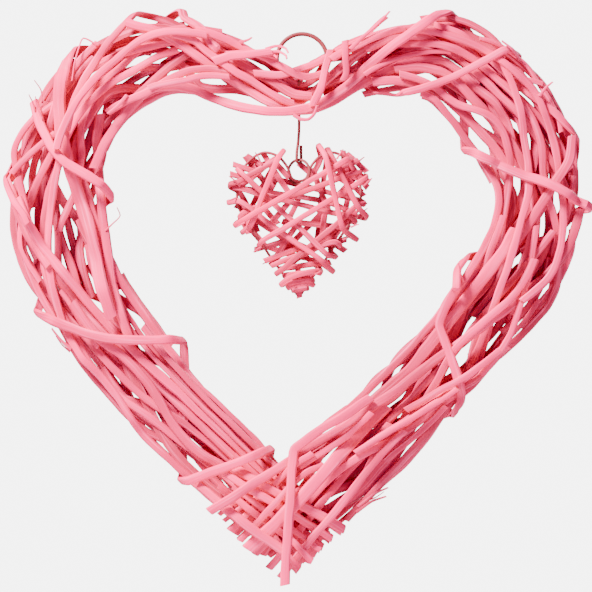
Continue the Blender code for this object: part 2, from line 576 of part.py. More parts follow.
def winding_places(row, wire):
    """The base places of a winding: stretches across the heart and turns round its wire."""
    _, marks = row
    radius = (HEART_WIRE / 2 + WIRE_GAP + HEART_SPLIT_THICKNESS / 2) / math.cos(math.radians(30))
    side = BACK
    base, face = [], []
    places = [wire.place(mark) for mark in marks]
    for count, mark in enumerate(marks):
        here = places[count]
        if count in (0, len(marks) - 1):
            inward = places[1] - here if count == 0 else places[-2] - here
            ends = [here + inward * WINDING_TUCK + np.array([0.0, -side * radius, 0.0])]
            turns = [np.array([0.0, -side, 0.0])]
        else:
            ends, turns = [], []
            tangent = wire.direction(mark)
            outward = np.array([-tangent[2], 0.0, tangent[0]])
            incoming = here - places[count - 1]
            leaving = places[count + 1] - here
            slide = tangent.dot(incoming) / np.linalg.norm(incoming)
            slide += tangent.dot(leaving) / np.linalg.norm(leaving)
            for share in WINDING_TURN:
                turn = share * math.pi / 2
                normal = outward * math.cos(turn) + np.array([0.0, side * math.sin(turn), 0.0])
                turns.append(normal)
                ends.append(here + (normal + tangent * slide * share * WINDING_SLIDE) * radius)
            side = -side
        if base:
            gap = ends[0] - base[-1]
            between = max(1, round(np.linalg.norm(gap) / NODE_SPACING))
            for _ in range(1, between):
                base.append(base[-1] + gap / between)
                face.append(turns[0])
        base += ends
        face += turns
    return np.array(base), np.array(face)


def paint(name, color, roughness):
    """A painted surface."""
    material = bpy.data.materials.new(name)
    material.use_nodes = True
    shader = material.node_tree.nodes["Principled BSDF"]
    shader.inputs["Base Color"].default_value = (*color, 1.0)
    shader.inputs["Roughness"].default_value = roughness
    return material


def split_object(name, points, face, size, collection, material):
    """A split as a loft through its cross-sections."""
    rings = sections(points, face, size)
    shape = bmesh.new()
    loops = [[shape.verts.new(corner) for corner in ring] for ring in rings]
    for before, after in zip(loops, loops[1:]):
        for k in range(4):
            shape.faces.new((before[k], before[(k + 1) % 4], after[(k + 1) % 4], after[k]))
    shape.faces.new(loops[0][::-1])
    shape.faces.new(loops[-1])
    bmesh.ops.recalc_face_normals(shape, faces=shape.faces)
    mesh = bpy.data.meshes.new(name)
    shape.to_mesh(mesh)
    shape.free()
    item = bpy.data.objects.new(name, mesh)
    item.data.materials.append(material)
    collection.objects.link(item)
    return item


def wire_object(name, points, diameter, closed, collection, material):
    """A round wire along a polyline."""
    curve = bpy.data.curves.new(name, "CURVE")
    curve.dimensions = "3D"
    curve.bevel_depth = diameter / 2
    curve.bevel_resolution = 2
    curve.use_fill_caps = not closed
    spline = curve.splines.new("POLY")
    spline.points.add(len(points) - 1)
    for place, point in zip(points, spline.points):
        point.co = (*place, 1.0)
    spline.use_cyclic_u = closed
    item = bpy.data.objects.new(name, curve)
    item.data.materials.append(material)
    collection.objects.link(item)
    return item


def lay_wreath(line):
    """Every split of the wreath in laying order: name, size, places and face directions."""
    ring = circle_points(RING_MIDDLE, RING_RADIUS, RING_POINTS)
    laid = joined(wire_boxes(ring, RING_WIRE), wire_boxes(hook_points(), HOOK_WIRE))
    backs = [back_row(count, line) for count in range(BACK_SPLITS)]
    rows = [threaded_row(line)] + backs + FRONT_SPLITS + BINDERS
    splits = []
    for row in rows:
        base, face, push = pick_places(*places_along(row, line))
        over = base[:-1, 2] < TIP_LEVEL if row[0] in OVERLYING else False
        points = lay(base, face, push, row[1], laid, CLIMB, over=over)
        laid = joined(laid, boxes(sections(points, face, row[1]), face))
        splits.append((row[0], row[1], points, face))
    return splits


def lay_windings(wire):
    """Every winding of the small heart in laying order."""
    link = circle_points(LINK_MIDDLE, LINK_RADIUS, LINK_POINTS, LINK_TURN)
    laid = joined(wire_boxes(link, LINK_WIRE), wire_boxes(hook_points(), HOOK_WIRE))
    laid = joined(laid, wire_boxes(wire.points(), HEART_WIRE))
    size = (HEART_SPLIT_WIDTH, HEART_SPLIT_THICKNESS)
    splits = []
    for row in WINDINGS:
        base, face = winding_places(row, wire)
        points = lay(base, face, face, size, laid, WINDING_CLIMB, winding=True)
        laid = joined(laid, boxes(sections(points, face, size), face))
        splits.append((row[0], size, points, face))
    return splits


def build():
    for item in list(bpy.data.objects):
        bpy.data.objects.remove(item)
    collection = bpy.data.collections.new("straw_heart_ornament")
    bpy.context.scene.collection.children.link(collection)

    ring_wire = paint("hanging_ring_wire", (0.42, 0.15, 0.14), 0.45)
    hook_wire = paint("hook_wire", (0.36, 0.13, 0.12), 0.5)
    heart_wire = paint("small_heart_wire", (0.45, 0.14, 0.15), 0.5)
    wire = HeartWire()
    ring_points = circle_points(RING_MIDDLE, RING_RADIUS, RING_POINTS)[:-1]
    link_points = circle_points(LINK_MIDDLE, LINK_RADIUS, LINK_POINTS, LINK_TURN)[:-1]
    wire_object("hanging_ring", ring_points, RING_WIRE, True, collection, ring_wire)
    wire_object("pendant_hook", hook_points(), HOOK_WIRE, False, collection, hook_wire)
    wire_object("link_ring", link_points, LINK_WIRE, True, collection, hook_wire)
    wire_object("small_heart_wire", wire.points()[:-1], HEART_WIRE, True, collection, heart_wire)

    wreath_split = paint("wreath_split", (0.84, 0.27, 0.32), 0.6)
    binder_split = paint("binder_split", (0.80, 0.22, 0.27), 0.55)
    heart_split = paint("small_heart_split", (0.78, 0.19, 0.25), 0.6)
    for name, size, points, face in lay_wreath(MiddleLine()):
        material = binder_split if name.endswith("binder") else wreath_split
        split_object(name, points, face, size, collection, material)
    for name, size, points, face in lay_windings(wire):
        split_object(name, points, face, size, collection, heart_split)


build()
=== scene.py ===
"""Dressed model of a hanging heart of painted willow splits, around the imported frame.

Metres, +Z up. The front faces -Y. The origin is the inner top of the hanging ring.
"""
import math

import bmesh
import bpy
import numpy as np
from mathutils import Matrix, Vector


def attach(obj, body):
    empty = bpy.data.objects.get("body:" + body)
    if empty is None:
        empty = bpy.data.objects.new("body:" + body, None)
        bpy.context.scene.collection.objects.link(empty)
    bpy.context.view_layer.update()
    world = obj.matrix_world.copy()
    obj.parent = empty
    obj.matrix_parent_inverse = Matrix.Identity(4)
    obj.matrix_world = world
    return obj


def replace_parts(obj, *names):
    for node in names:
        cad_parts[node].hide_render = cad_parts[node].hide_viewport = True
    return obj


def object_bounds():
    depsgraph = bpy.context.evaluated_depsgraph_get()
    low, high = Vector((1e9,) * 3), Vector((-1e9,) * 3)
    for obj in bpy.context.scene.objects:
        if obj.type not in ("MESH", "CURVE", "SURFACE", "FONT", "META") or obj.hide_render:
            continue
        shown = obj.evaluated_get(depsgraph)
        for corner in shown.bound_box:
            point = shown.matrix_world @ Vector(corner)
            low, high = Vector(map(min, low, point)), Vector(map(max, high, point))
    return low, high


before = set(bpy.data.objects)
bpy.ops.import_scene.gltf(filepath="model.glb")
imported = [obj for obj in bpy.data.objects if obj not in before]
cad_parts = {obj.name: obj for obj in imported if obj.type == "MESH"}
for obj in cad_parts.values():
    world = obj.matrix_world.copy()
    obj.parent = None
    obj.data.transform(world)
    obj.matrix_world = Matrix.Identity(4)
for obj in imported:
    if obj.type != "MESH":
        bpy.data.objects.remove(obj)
frame_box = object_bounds()

# Driving sizes, in metres
WREATH_WIDTH = 0.380
WREATH_STEPS = 583.0            # the lay-up grid has this many steps across the wreath
GRID = WREATH_WIDTH / WREATH_STEPS

BROAD_WIDTH, BROAD_THICKNESS = 0.0088, 0.0026
WIDE_WIDTH, WIDE_THICKNESS = 0.0064, 0.0024
PLAIN_WIDTH, PLAIN_THICKNESS = 0.0052, 0.0021
SLIM_WIDTH, SLIM_THICKNESS = 0.0038, 0.0018
CROWN_SHARE = 0.62              # width of a split's rounded top, as a share of its flat underside
END_SLANT = 0.14                # slant of a cut end, as a share of the split's width
LAY_GAP = 0.0004                # clear space between two splits that rest on each other
EDGE_TURN_RADIUS = 0.0075       # how a split rounds the side of the bundle

RING_RADIUS = 0.0163            # hanging ring, to the middle of its wire
RING_WIRE = 0.0026
HOOK_WIRE = 0.0017
HOOK_REACH = 0.0495             # from the ring's wire down to the link's
LINK_RADIUS = 0.0080            # small ring between hook and small heart
LINK_WIRE = 0.0015
LINK_TURN = math.radians(30)    # how far the link is turned about its upright
EYE_HALF_WIDTH = 0.0022         # the long eye that the hook wire makes round the link
EYE_LENGTH = 0.0095
EYE_TURN = math.radians(38)
HANG_SIDE = -0.0020             # the small heart hangs this far from the ring's lowest point
WIRE_GAP = 0.0004               # clear space between two wires or a wire and a split
THREAD_ROOM = 0.0027            # clear space between the hook's crook and the split through the ring

HEART_WIDTH = 0.0805            # small heart, between the middles of its wire
HEART_HEIGHT = 0.0950
HEART_WIRE = 0.0018
HEART_SPLIT_WIDTH, HEART_SPLIT_THICKNESS = 0.0048, 0.0016
DIP_OFFSET = 0.0024             # how far the heart's wire stands off the link's, in front and behind

# How the splits and wires are followed
NODE_SPACING = 0.021
NODE_TURN = math.radians(54)
LEAST_SPACING = 0.003           # places nearer than this to the one before are left out
RING_POINTS = 28
LINK_POINTS = 20
HEART_WIRE_POINTS = 56
ROUTE_SAMPLES = 40              # close-set places between two listed ones, along the middle line
SAMPLES = 24                    # the same along a split
HEART_SAMPLES = 12              # the same along the small heart's wire
SMOOTHING = 7                   # grid steps to each side over which the outward direction is evened out
EDGE_FADE = 70.0                # grid steps over which a split comes down from the side of the bundle
EDGE_REACH = 3.0                # turn radii within which a split leans round the side
DIP_SPREAD = 11.0               # hundredths of the small heart's wire that stand off the link
WINDING_TUCK = 0.25             # a winding's cut ends lie this share of a stretch in from the wire
WINDING_SLIDE = 0.7             # how far a winding moves on along the wire as it turns, in turn radii
WINDING_TURN = (-1.0, -0.34, 0.34, 1.0)

# How splits are laid over each other
CLIMB = 0.30                    # steepest rise of a split over another, rise over run
WINDING_CLIMB = 1.5             # the same for the short stretches of the small heart
TURN_CLIMB = 4.0                # how many times steeper it may come down where it turns round a side
TURNING = math.cos(math.radians(18))
LAY_ROUNDS = 60
LIFT_STEP = 1e-6
LEAST_AXIS = 0.05               # a cross product shorter than this gives no direction to part two boxes
LEAST_RISE = 0.3                # a direction nearly level with the push isn't used to part them
LEAST_PUSH = 0.9                # a stretch whose two ends are pushed apart stays where it is
OWN_STRETCHES = 3               # a winding clears its own stretches that lie further back than this
OVER_REACH = 0.012              # how far above a split the others are looked for that it lies over

# The plain back: long waves from side to side of the bundle
BACK_SPLITS = 8
BACK_SPLIT_LENGTH = 430.0       # grid steps
BACK_MARGIN = 20.0
BACK_STEP = 43.0
BACK_SWING = 0.72               # share of the bundle's half width
BACK_WAVE = 5.2                 # radians of the wave along one split
BACK_PHASE = 2.4                # radians from one split to the next

# The wreath's middle line on the lay-up grid, from the left arm's cut ends up round both lobes
# and down to the right arm's: across, down, and half the bundle's width
ORIGIN_ACROSS, ORIGIN_DOWN = 302.0, 36.0
ROUTE = [
    (318, 555, 42), (240, 477, 42), (163, 400, 40), (118, 348, 42), (82, 295, 44), (61, 240, 50),
    (58, 185, 50), (71, 130, 47), (100, 85, 44), (150, 54, 43), (200, 53, 41), (245, 73, 30),
    (300, 92, 25), (350, 68, 30), (400, 56, 44), (450, 62, 50), (491, 96, 48), (524, 140, 42),
    (538, 190, 44), (527, 240, 47), (500, 285, 42), (455, 343, 42), (402, 402, 42), (325, 479, 42),
    (252, 552, 42),
]

FRONT, BACK = 1.0, -1.0
EDGE, THROUGH = "edge", "through"
BROAD = (BROAD_WIDTH, BROAD_THICKNESS)
WIDE = (WIDE_WIDTH, WIDE_THICKNESS)
PLAIN = (PLAIN_WIDTH, PLAIN_THICKNESS)
SLIM = (SLIM_WIDTH, SLIM_THICKNESS)

# Each split: name, size, side it starts on, and the places it passes, as steps along the middle
# line and steps outward from it. EDGE marks where it turns round the side of the bundle, and
# THROUGH where it passes through the hanging ring. The list is in laying order, deepest first.
THREAD_START = [(640, 6), (700, 14), (772, 19)]
THREAD_STATION = 800
THREAD_END = [(835, 20), (905, 10), (990, 2)]
FRONT_SPLITS = [
    ("left_arm_middle", PLAIN, FRONT, [(2, -9), (70, -3), (130, -5), (200, 4), (240, 13), (325, 21),
        (412, 40)]),
    ("left_arm_outer_middle", PLAIN, FRONT, [(2, 1), (50, 2), (100, 8), (200, 19), (250, 29), (290, 32),
        (327, 27), (380, 25), (440, 12), (500, 2), (560, 4), (600, 8), (645, 18), (700, 26)]),
    ("left_inner_long", WIDE, FRONT, [(100, -34), (150, -32), (200, -34), (300, -41), (372, -40),
        (430, -37), (475, -24), (510, -10), (550, -12), (583, -12), (615, -30)]),
    ("left_arm_rising", WIDE, FRONT, [(2, -20), (100, -11), (200, -9), (300, -1), (375, 14), (425, 32),
        (466, 50, EDGE), (500, 30), (540, 10)]),
    ("left_arm_rising_wide", WIDE, FRONT, [(0, -34), (45, -26), (100, -21), (200, -18), (300, -8),
        (375, 5), (452, 38)]),
    ("left_lobe_inner_cross", WIDE, FRONT, [(600, -33), (640, -24), (668, -8), (690, 6), (735, -3),
        (778, -14), (805, -4), (850, 6), (905, 26)]),
    ("left_lobe_cross_high", PLAIN, FRONT, [(340, 36), (400, 38), (425, 36), (475, 17), (505, 8),
        (550, 2), (600, 0), (645, 12), (690, 24)]),
    ("left_arm_long_outer", PLAIN, FRONT, [(2, 9), (30, 21), (60, 29), (100, 34), (205, 38), (230, 35),
        (262, 30), (290, 32), (310, 34), (350, 27), (400, 15), (460, 3), (520, 0), (575, -6), (620, -9),
        (665, 0)]),
    ("left_lobe_inner_sweep", WIDE, FRONT, [(285, -15), (330, -28), (375, -40), (425, -46), (475, -41),
        (525, -28), (553, -19)]),
    ("left_lobe_broad", BROAD, FRONT, [(315, -14), (375, -28), (425, -30), (475, -15), (525, 11),
        (577, 43, EDGE), (600, 25), (640, 5)]),
    ("left_lobe_corner", PLAIN, FRONT, [(520, 2), (560, 10), (610, 28), (636, 43, EDGE), (665, 25),
        (700, 5)]),
    ("dip_diagonal", WIDE, FRONT, [(627, 36), (655, 13), (690, -6), (725, -12), (792, -19), (850, -20),
        (900, -10), (945, -2), (980, -6), (1022, -2), (1060, -12)]),
    ("dip_bent", WIDE, BACK, [(640, 20), (668, 31, EDGE), (685, 22), (697, 9), (725, 7), (775, 1),
        (805, -8)]),
    ("dip_upper", PLAIN, FRONT, [(745, 2), (770, 12), (795, 22), (838, 19), (880, 23), (928, 27),
        (975, 17), (1025, 19), (1100, 35)]),
    ("right_lobe_low_sweep", WIDE, FRONT, [(868, -20), (930, -30), (1000, -33), (1090, -27), (1130, -34),
        (1200, -30), (1280, -26)]),
    ("right_inner_long", PLAIN, FRONT, [(925, -37), (975, -43), (1030, -48), (1075, -45), (1125, -39),
        (1180, -36), (1270, -31), (1350, -31), (1440, -35)]),
    ("right_lobe_middle", WIDE, FRONT, [(895, -13), (955, -13), (1000, -16), (1050, -14), (1100, -8),
        (1150, 3), (1222, 27)]),
    ("right_lobe_arch", PLAIN, FRONT, [(870, 12), (920, 18), (965, 6), (1030, 8), (1090, 18),
        (1130, 36)]),
    ("right_lobe_corner", PLAIN, FRONT, [(932, 31), (985, 25), (1030, 30), (1079, 50, EDGE), (1105, 36),
        (1150, 20)]),
    ("right_side_hump", PLAIN, FRONT, [(1108, 2), (1140, 19), (1170, 37), (1203, 51), (1250, 46),
        (1325, 33)]),
    ("right_side_falling", WIDE, FRONT, [(1076, 45), (1095, 33), (1112, 13), (1145, -3), (1175, -10)]),
    ("right_arm_broad", BROAD, FRONT, [(1160, -14), (1210, -18), (1290, -19), (1345, -16), (1395, -21),
        (1470, -22), (1583, -28)]),
    ("right_arm_middle", PLAIN, FRONT, [(1150, 22), (1180, 12), (1240, 5), (1330, 5), (1455, -1),
        (1520, -14), (1583, -18)]),
    ("right_arm_low_outer", PLAIN, FRONT, [(1395, 6), (1430, 9), (1505, 14), (1555, 21), (1583, 23)]),
    ("tip_end_wide", WIDE, FRONT, [(-2, -37), (23, -32), (44, -26), (65, -18), (92, -11), (128, -2)]),
    ("tip_end_middle", PLAIN, FRONT, [(2, -22), (23, -18), (44, -13), (70, -7), (100, 1), (130, 8)]),
    ("right_arm_tip_broad", BROAD, FRONT, [(1385, -9), (1440, -8), (1515, -5), (1583, -6)]),
    ("right_long_wave", PLAIN, FRONT, [(985, 33), (1022, 19), (1065, -1), (1130, -12), (1175, -11),
        (1225, 2), (1290, 24), (1335, 36), (1400, 41), (1495, 44)]),
    ("right_arm_slant", PLAIN, FRONT, [(1325, 34), (1355, 29), (1400, 20), (1455, 4), (1520, 3),
        (1583, 3)]),
    ("left_arm_low_end", WIDE, FRONT, [(24, 18), (48, 23), (75, 27), (103, 31), (135, 33)]),
    ("right_arm_high_outer", PLAIN, FRONT, [(1390, 21), (1425, 21), (1475, 27), (1525, 31), (1581, 37)]),
    ("right_arm_long_slant", WIDE, FRONT, [(1128, 43), (1163, 40), (1200, 29), (1300, 0), (1400, -19),
        (1480, -36), (1583, -60)]),
    ("tip_upright", WIDE, FRONT, [(1390, -26), (1415, -31), (1442, -38), (1468, -42), (1483, -42),
        (1510, -18), (1550, 16), (1581, 44)]),
    ("inner_sag", WIDE, FRONT, [(490, -34), (560, -39), (618, -34), (690, -37), (750, -33), (795, -19),
        (850, -13), (885, 4), (915, 22), (941, 48, EDGE), (965, 30), (1000, 10)]),
    ("left_lobe_inner_tail", PLAIN, FRONT, [(559, -24), (600, -33), (640, -34), (690, -17), (725, -6)]),
    ("dip_tie", PLAIN, FRONT, [(803, -17), (842, 24)]),
]
# Splits of the right arm that lie over all that is laid before them where the two arms cross
TIP_LEVEL = -440.0 * GRID
OVERLYING = ("right_arm_tip_broad", "left_arm_low_end", "right_arm_high_outer", "right_arm_long_slant",
    "tip_upright")
BINDERS = [
    ("tip_binder", WIDE, BACK, [(185, 10), (150, 43, EDGE), (128, 2), (108, -43, EDGE), (85, -5)]),
    ("left_arm_binder", WIDE, BACK, [(385, 10), (357, 49, EDGE), (300, 0), (262, -45), (250, -56, EDGE),
        (225, -35), (190, 0)]),
    ("left_lobe_binder", WIDE, BACK, [(425, -20), (455, -53, EDGE), (475, -38), (495, 3), (533, 45)]),
    ("right_lobe_binder", PLAIN, BACK, [(855, -5), (872, -28, EDGE), (905, -38), (957, -20), (975, 8),
        (985, 38), (997, 49, EDGE), (1020, 30)]),
    ("right_side_binder", WIDE, BACK, [(1000, -30), (1034, -57, EDGE), (1075, -35), (1100, -10),
        (1127, 45, EDGE), (1150, 25), (1180, 0)]),
    ("right_arm_binder", WIDE, BACK, [(1190, -15), (1215, -37, EDGE), (1250, -34), (1285, -26),
        (1302, -2), (1325, 36), (1345, 45, EDGE), (1370, 25), (1400, 5)]),
]

# Gaps that one sees through, which the plain back leaves open: station, across, half length, half width
GAP_EASE = 20.0                 # grid steps over which a split of the back turns aside for a gap
GAP_MARGIN = 1.0
GAPS = [
    (224, 33, 6, 4), (254, 19, 8, 5), (266, -18, 10, 4), (298, -32, 20, 3), (332, 35, 8, 4),
    (340, -10, 15, 6), (388, 5, 4, 3), (400, 9, 5, 3), (426, 22, 4, 3), (427, -10, 15, 6),
    (446, 12, 6, 3), (470, 28, 13, 6), (472, -7, 10, 6), (517, -13, 10, 4), (536, 0, 9, 3),
    (557, -20, 10, 4), (582, -28, 12, 4), (608, -18, 14, 6), (638, 40, 6, 3), (695, -17, 5, 3),
    (727, -24, 22, 3), (815, 14, 7, 3), (888, -31, 11, 3), (942, 5, 6, 3), (996, -23, 8, 3),
    (1009, 36, 6, 3), (1026, 26, 5, 3), (1030, -23, 9, 4), (1047, -39, 20, 5), (1072, 6, 4, 3),
    (1152, 10, 8, 4),
    (1194, -2, 9, 4), (1211, 37, 8, 6), (1256, 22, 13, 6), (1295, 15, 12, 5), (1372, -27, 17, 3),
    (1389, 10, 5, 3), (1476, 20, 9, 4),
]

# Right half of the small heart's wire, from dip to tip: shares of half its width and of its height
HEART_HALF = [
    (0, .215), (.115, .195), (.165, .14), (.235, .09), (.36, .04), (.58, .02), (.8, .075), (.95, .17),
    (1, .28), (.97, .4), (.78, .53), (.62, .63), (.46, .735), (.26, .85), (.1, .95), (0, 1),
]
# Windings of the small heart, deepest first: hundredths of the way round its wire, clockwise from the
# dip. Each starts and ends behind the heart, and its stretches lie behind and in front by turns.
WINDINGS = [
    ("heart_winding_first", [39.5, 72.0, 18.3, 59.2, 35.4, 58.0]),
    ("heart_winding_deep", [25.5, 78.4, 29.2, 57.0, 24.9, 82.8]),
    ("heart_winding_left", [63.5, 78.8, 92.6, 82.5, 38.3, 27.2, 9.7, 45.0]),
    ("heart_winding_cross", [94.4, 69.0, 92.6, 71.2, 15.0, 32.2, 8.3, 61.2]),
    ("heart_winding_broad", [43.0, 53.0, 46.3, 54.3, 42.8, 75.5, 40.9, 64.2, 19.6, 11.0]),
]


# Places that follow from the hanging ring, whose inner top is the origin
RING_MIDDLE = np.array([0.0, 0.0, -(RING_RADIUS - RING_WIRE / 2)])
RING_FOOT = np.array([HANG_SIDE, 0.0, RING_MIDDLE[2] - math.sqrt(RING_RADIUS ** 2 - HANG_SIDE ** 2)])
CROOK_RADIUS = RING_WIRE / 2 + WIRE_GAP + HOOK_WIRE / 2
LINK_TOP = RING_FOOT - np.array([0.0, 0.0, HOOK_REACH])
LINK_MIDDLE = LINK_TOP - np.array([0.0, 0.0, LINK_RADIUS])
HEART_DIP = LINK_MIDDLE - np.array([0.0, 0.0, LINK_RADIUS - LINK_WIRE / 2 - WIRE_GAP - HEART_WIRE / 2])


def smooth_route(points, samples):
    """Points on the smooth curve through the given ones, evenly spread in its parameter."""
    knots = [np.asarray(point, dtype=float) for point in points]
    knots = [2 * knots[0] - knots[1]] + knots + [2 * knots[-1] - knots[-2]]
    curve = []
    for before, start, end, after in zip(knots, knots[1:], knots[2:], knots[3:]):
        for step in range(samples):
            t = step / samples
            curve.append(0.5 * (2 * start + (end - before) * t
                                + (2 * before - 5 * start + 4 * end - after) * t * t
                                + (3 * start - before - 3 * end + after) * t ** 3))
    curve.append(knots[-2])
    return np.array(curve)


class MiddleLine:
    """The wreath's middle line: station in grid steps to place and outward direction."""

    def __init__(self):
        curve = smooth_route(ROUTE, ROUTE_SAMPLES)
        lengths = np.hypot(*np.diff(curve[:, :2], axis=0).T)
        stations = np.concatenate([[0.0], np.cumsum(lengths)])
        self.length = stations[-1]
        self.stations = np.linspace(0.0, self.length, int(self.length) + 1)
        columns = [np.interp(self.stations, stations, curve[:, k]) for k in range(3)]
        self.x = (columns[0] - ORIGIN_ACROSS) * GRID
        self.z = (ORIGIN_DOWN - columns[1]) * GRID
        self.half_width = columns[2]
        window = np.ones(2 * SMOOTHING + 1) / (2 * SMOOTHING + 1)
        along_x = np.convolve(np.pad(np.gradient(self.x), SMOOTHING, "edge"), window, "valid")
        along_z = np.convolve(np.pad(np.gradient(self.z), SMOOTHING, "edge"), window, "valid")
        run = np.hypot(along_x, along_z)
        self.out_x, self.out_z = -along_z / run, along_x / run

    def outward(self, station):
        return np.array([np.interp(station, self.stations, self.out_x), 0.0,
                         np.interp(station, self.stations, self.out_z)])

    def place(self, station, across):
        middle = np.array([np.interp(station, self.stations, self.x), 0.0,
                           np.interp(station, self.stations, self.z)])
        return middle + self.outward(station) * across * GRID

    def reach(self, station):
        return np.interp(station, self.stations, self.half_width)


def places_along(row, line):
    """Close-set places along a split: base point, face direction, push direction, and fixed places."""
    _, _, side, knots = row
    turn, shift = 1.0, 0.0
    flat, stretches, edges = [], [], []
    fold = None
    for knot in knots:
        station, across = knot[0], knot[1]
        mark = knot[2] if len(knot) > 2 else None
        level = turn * across + shift
        flat.append((station, level))
        if mark == EDGE:
            turn = -turn
            shift = level - turn * across
            edges.append((station, across, len(flat) - 1))
        if mark == THROUGH:
            fold = len(flat) - 1
        if mark in (EDGE, THROUGH):
            side = -side
        stretches.append((turn, shift, side))
    curve = smooth_route([(station, level) for station, level in flat], SAMPLES)
    radius = EDGE_TURN_RADIUS / GRID
    base, face, push = [], [], []
    for count, (station, level) in enumerate(curve):
        stretch = min(count // SAMPLES, len(stretches) - 2)
        turn, shift, side = stretches[stretch]
        across = (level - shift) / turn
        front = np.array([0.0, -side, 0.0])
        normal, depth = front, 0.0
        for edge_station, edge_across, edge_knot in edges:
            beside = edge_knot - 1 <= count / SAMPLES <= edge_knot + 1
            if not beside and abs(station - edge_station) > EDGE_REACH * radius:
                continue
            sign = math.copysign(1.0, edge_across)
            inside = (edge_across - across) * sign
            away = math.hypot(station - edge_station, edge_across - across)
            if away > EDGE_FADE:
                continue
            if inside < 0.0:
                across, inside = edge_across, 0.0
            lean = min(max(1.0 - inside / radius, 0.0), 1.0) if away < EDGE_REACH * radius else 0.0
            upright = math.sqrt(1.0 - lean * lean)
            ease = min(max((EDGE_FADE - away) / (EDGE_FADE - radius), 0.0), 1.0)
            height = EDGE_TURN_RADIUS * upright * ease * ease * (3 - 2 * ease)
            if height > depth or lean > 0.0:
                depth = height
                normal = front * upright + line.outward(station) * sign * lean
        base.append(line.place(station, across) + front * depth)
        face.append(normal if fold is None else np.array([0.0, -1.0, 0.0]))
        push.append(normal * (0.0 if fold is not None and count == fold * SAMPLES else 1.0))
    fixed = [0, len(curve) - 1] + [knot * SAMPLES for _, _, knot in edges]
    if fold is not None:
        fixed.append(fold * SAMPLES)
    return np.array(base), np.array(face), np.array(push), sorted(set(fixed))


def pick_places(base, face, push, fixed):
    """Thins the close-set places: far apart on straight runs, closer where the split turns."""
    steps = np.diff(base, axis=0)
    length = np.linalg.norm(steps, axis=1)
    along = steps / np.maximum(length, 1e-9)[:, None]
    bend = np.arccos(np.clip((along[1:] * along[:-1]).sum(axis=1), -1, 1))
    facing = face / np.linalg.norm(face, axis=1)[:, None]
    roll = np.arccos(np.clip((facing[1:] * facing[:-1]).sum(axis=1), -1, 1))
    effort = length / NODE_SPACING + roll / NODE_TURN
    effort[1:] += bend / NODE_TURN
    run = np.concatenate([[0.0], np.cumsum(effort)])
    reached = np.concatenate([[0.0], np.cumsum(length)])
    chosen = []
    for start, end in zip(fixed, fixed[1:]):
        count = max(1, round(run[end] - run[start]))
        marks = np.linspace(run[start], run[end], count + 1)[:-1]
        chosen += [int(np.searchsorted(run, mark)) for mark in marks]
    kept = []
    for place in sorted(set(chosen + [fixed[-1]])):
        if kept and reached[place] - reached[kept[-1]] < LEAST_SPACING:
            if place not in fixed:
                continue
            if kept[-1] not in fixed:
                kept.pop()
        kept.append(place)
    return base[kept], face[kept], push[kept]


def sections(points, face, size):
    """Cross-sections of a split: a flat underside, a narrower top, and ends cut a little slantwise."""
    width, thickness = size
    along = np.gradient(points, axis=0)
    along /= np.linalg.norm(along, axis=1)[:, None]
    up = face - (face * along).sum(axis=1)[:, None] * along
    up /= np.linalg.norm(up, axis=1)[:, None]
    across = np.cross(along, up)
    half, crown, rise = width / 2, width * CROWN_SHARE / 2, thickness / 2
    corners = [(-half, -rise), (half, -rise), (crown, rise), (-crown, rise)]
    rings = np.stack([points + across * a + up * u for a, u in corners], axis=1)
    slant = width * END_SLANT * np.array([1.0, -1.0, -1.0, 1.0])[:, None]
    rings[0] -= along[0] * slant
    rings[-1] += along[-1] * slant
    return rings


def boxes(rings, face):
    """The oriented box round each stretch between two cross-sections: middle, axes and half sizes."""
    corners = np.concatenate([rings[:-1], rings[1:]], axis=1)
    middle = corners.mean(axis=1)
    along = rings[1:].mean(axis=1) - rings[:-1].mean(axis=1)
    along /= np.linalg.norm(along, axis=1)[:, None]
    facing = face / np.linalg.norm(face, axis=1)[:, None]
    up = facing[:-1] + facing[1:]
    up -= (up * along).sum(axis=1)[:, None] * along
    up /= np.linalg.norm(up, axis=1)[:, None]
    axes = np.stack([along, up, np.cross(along, up)], axis=1)
    spread = np.einsum("sck,sak->sca", corners - middle[:, None], axes)
    low, high = spread.min(axis=1), spread.max(axis=1)
    middle = middle + np.einsum("sa,sak->sk", (low + high) / 2, axes)
    return middle, axes, (high - low) / 2


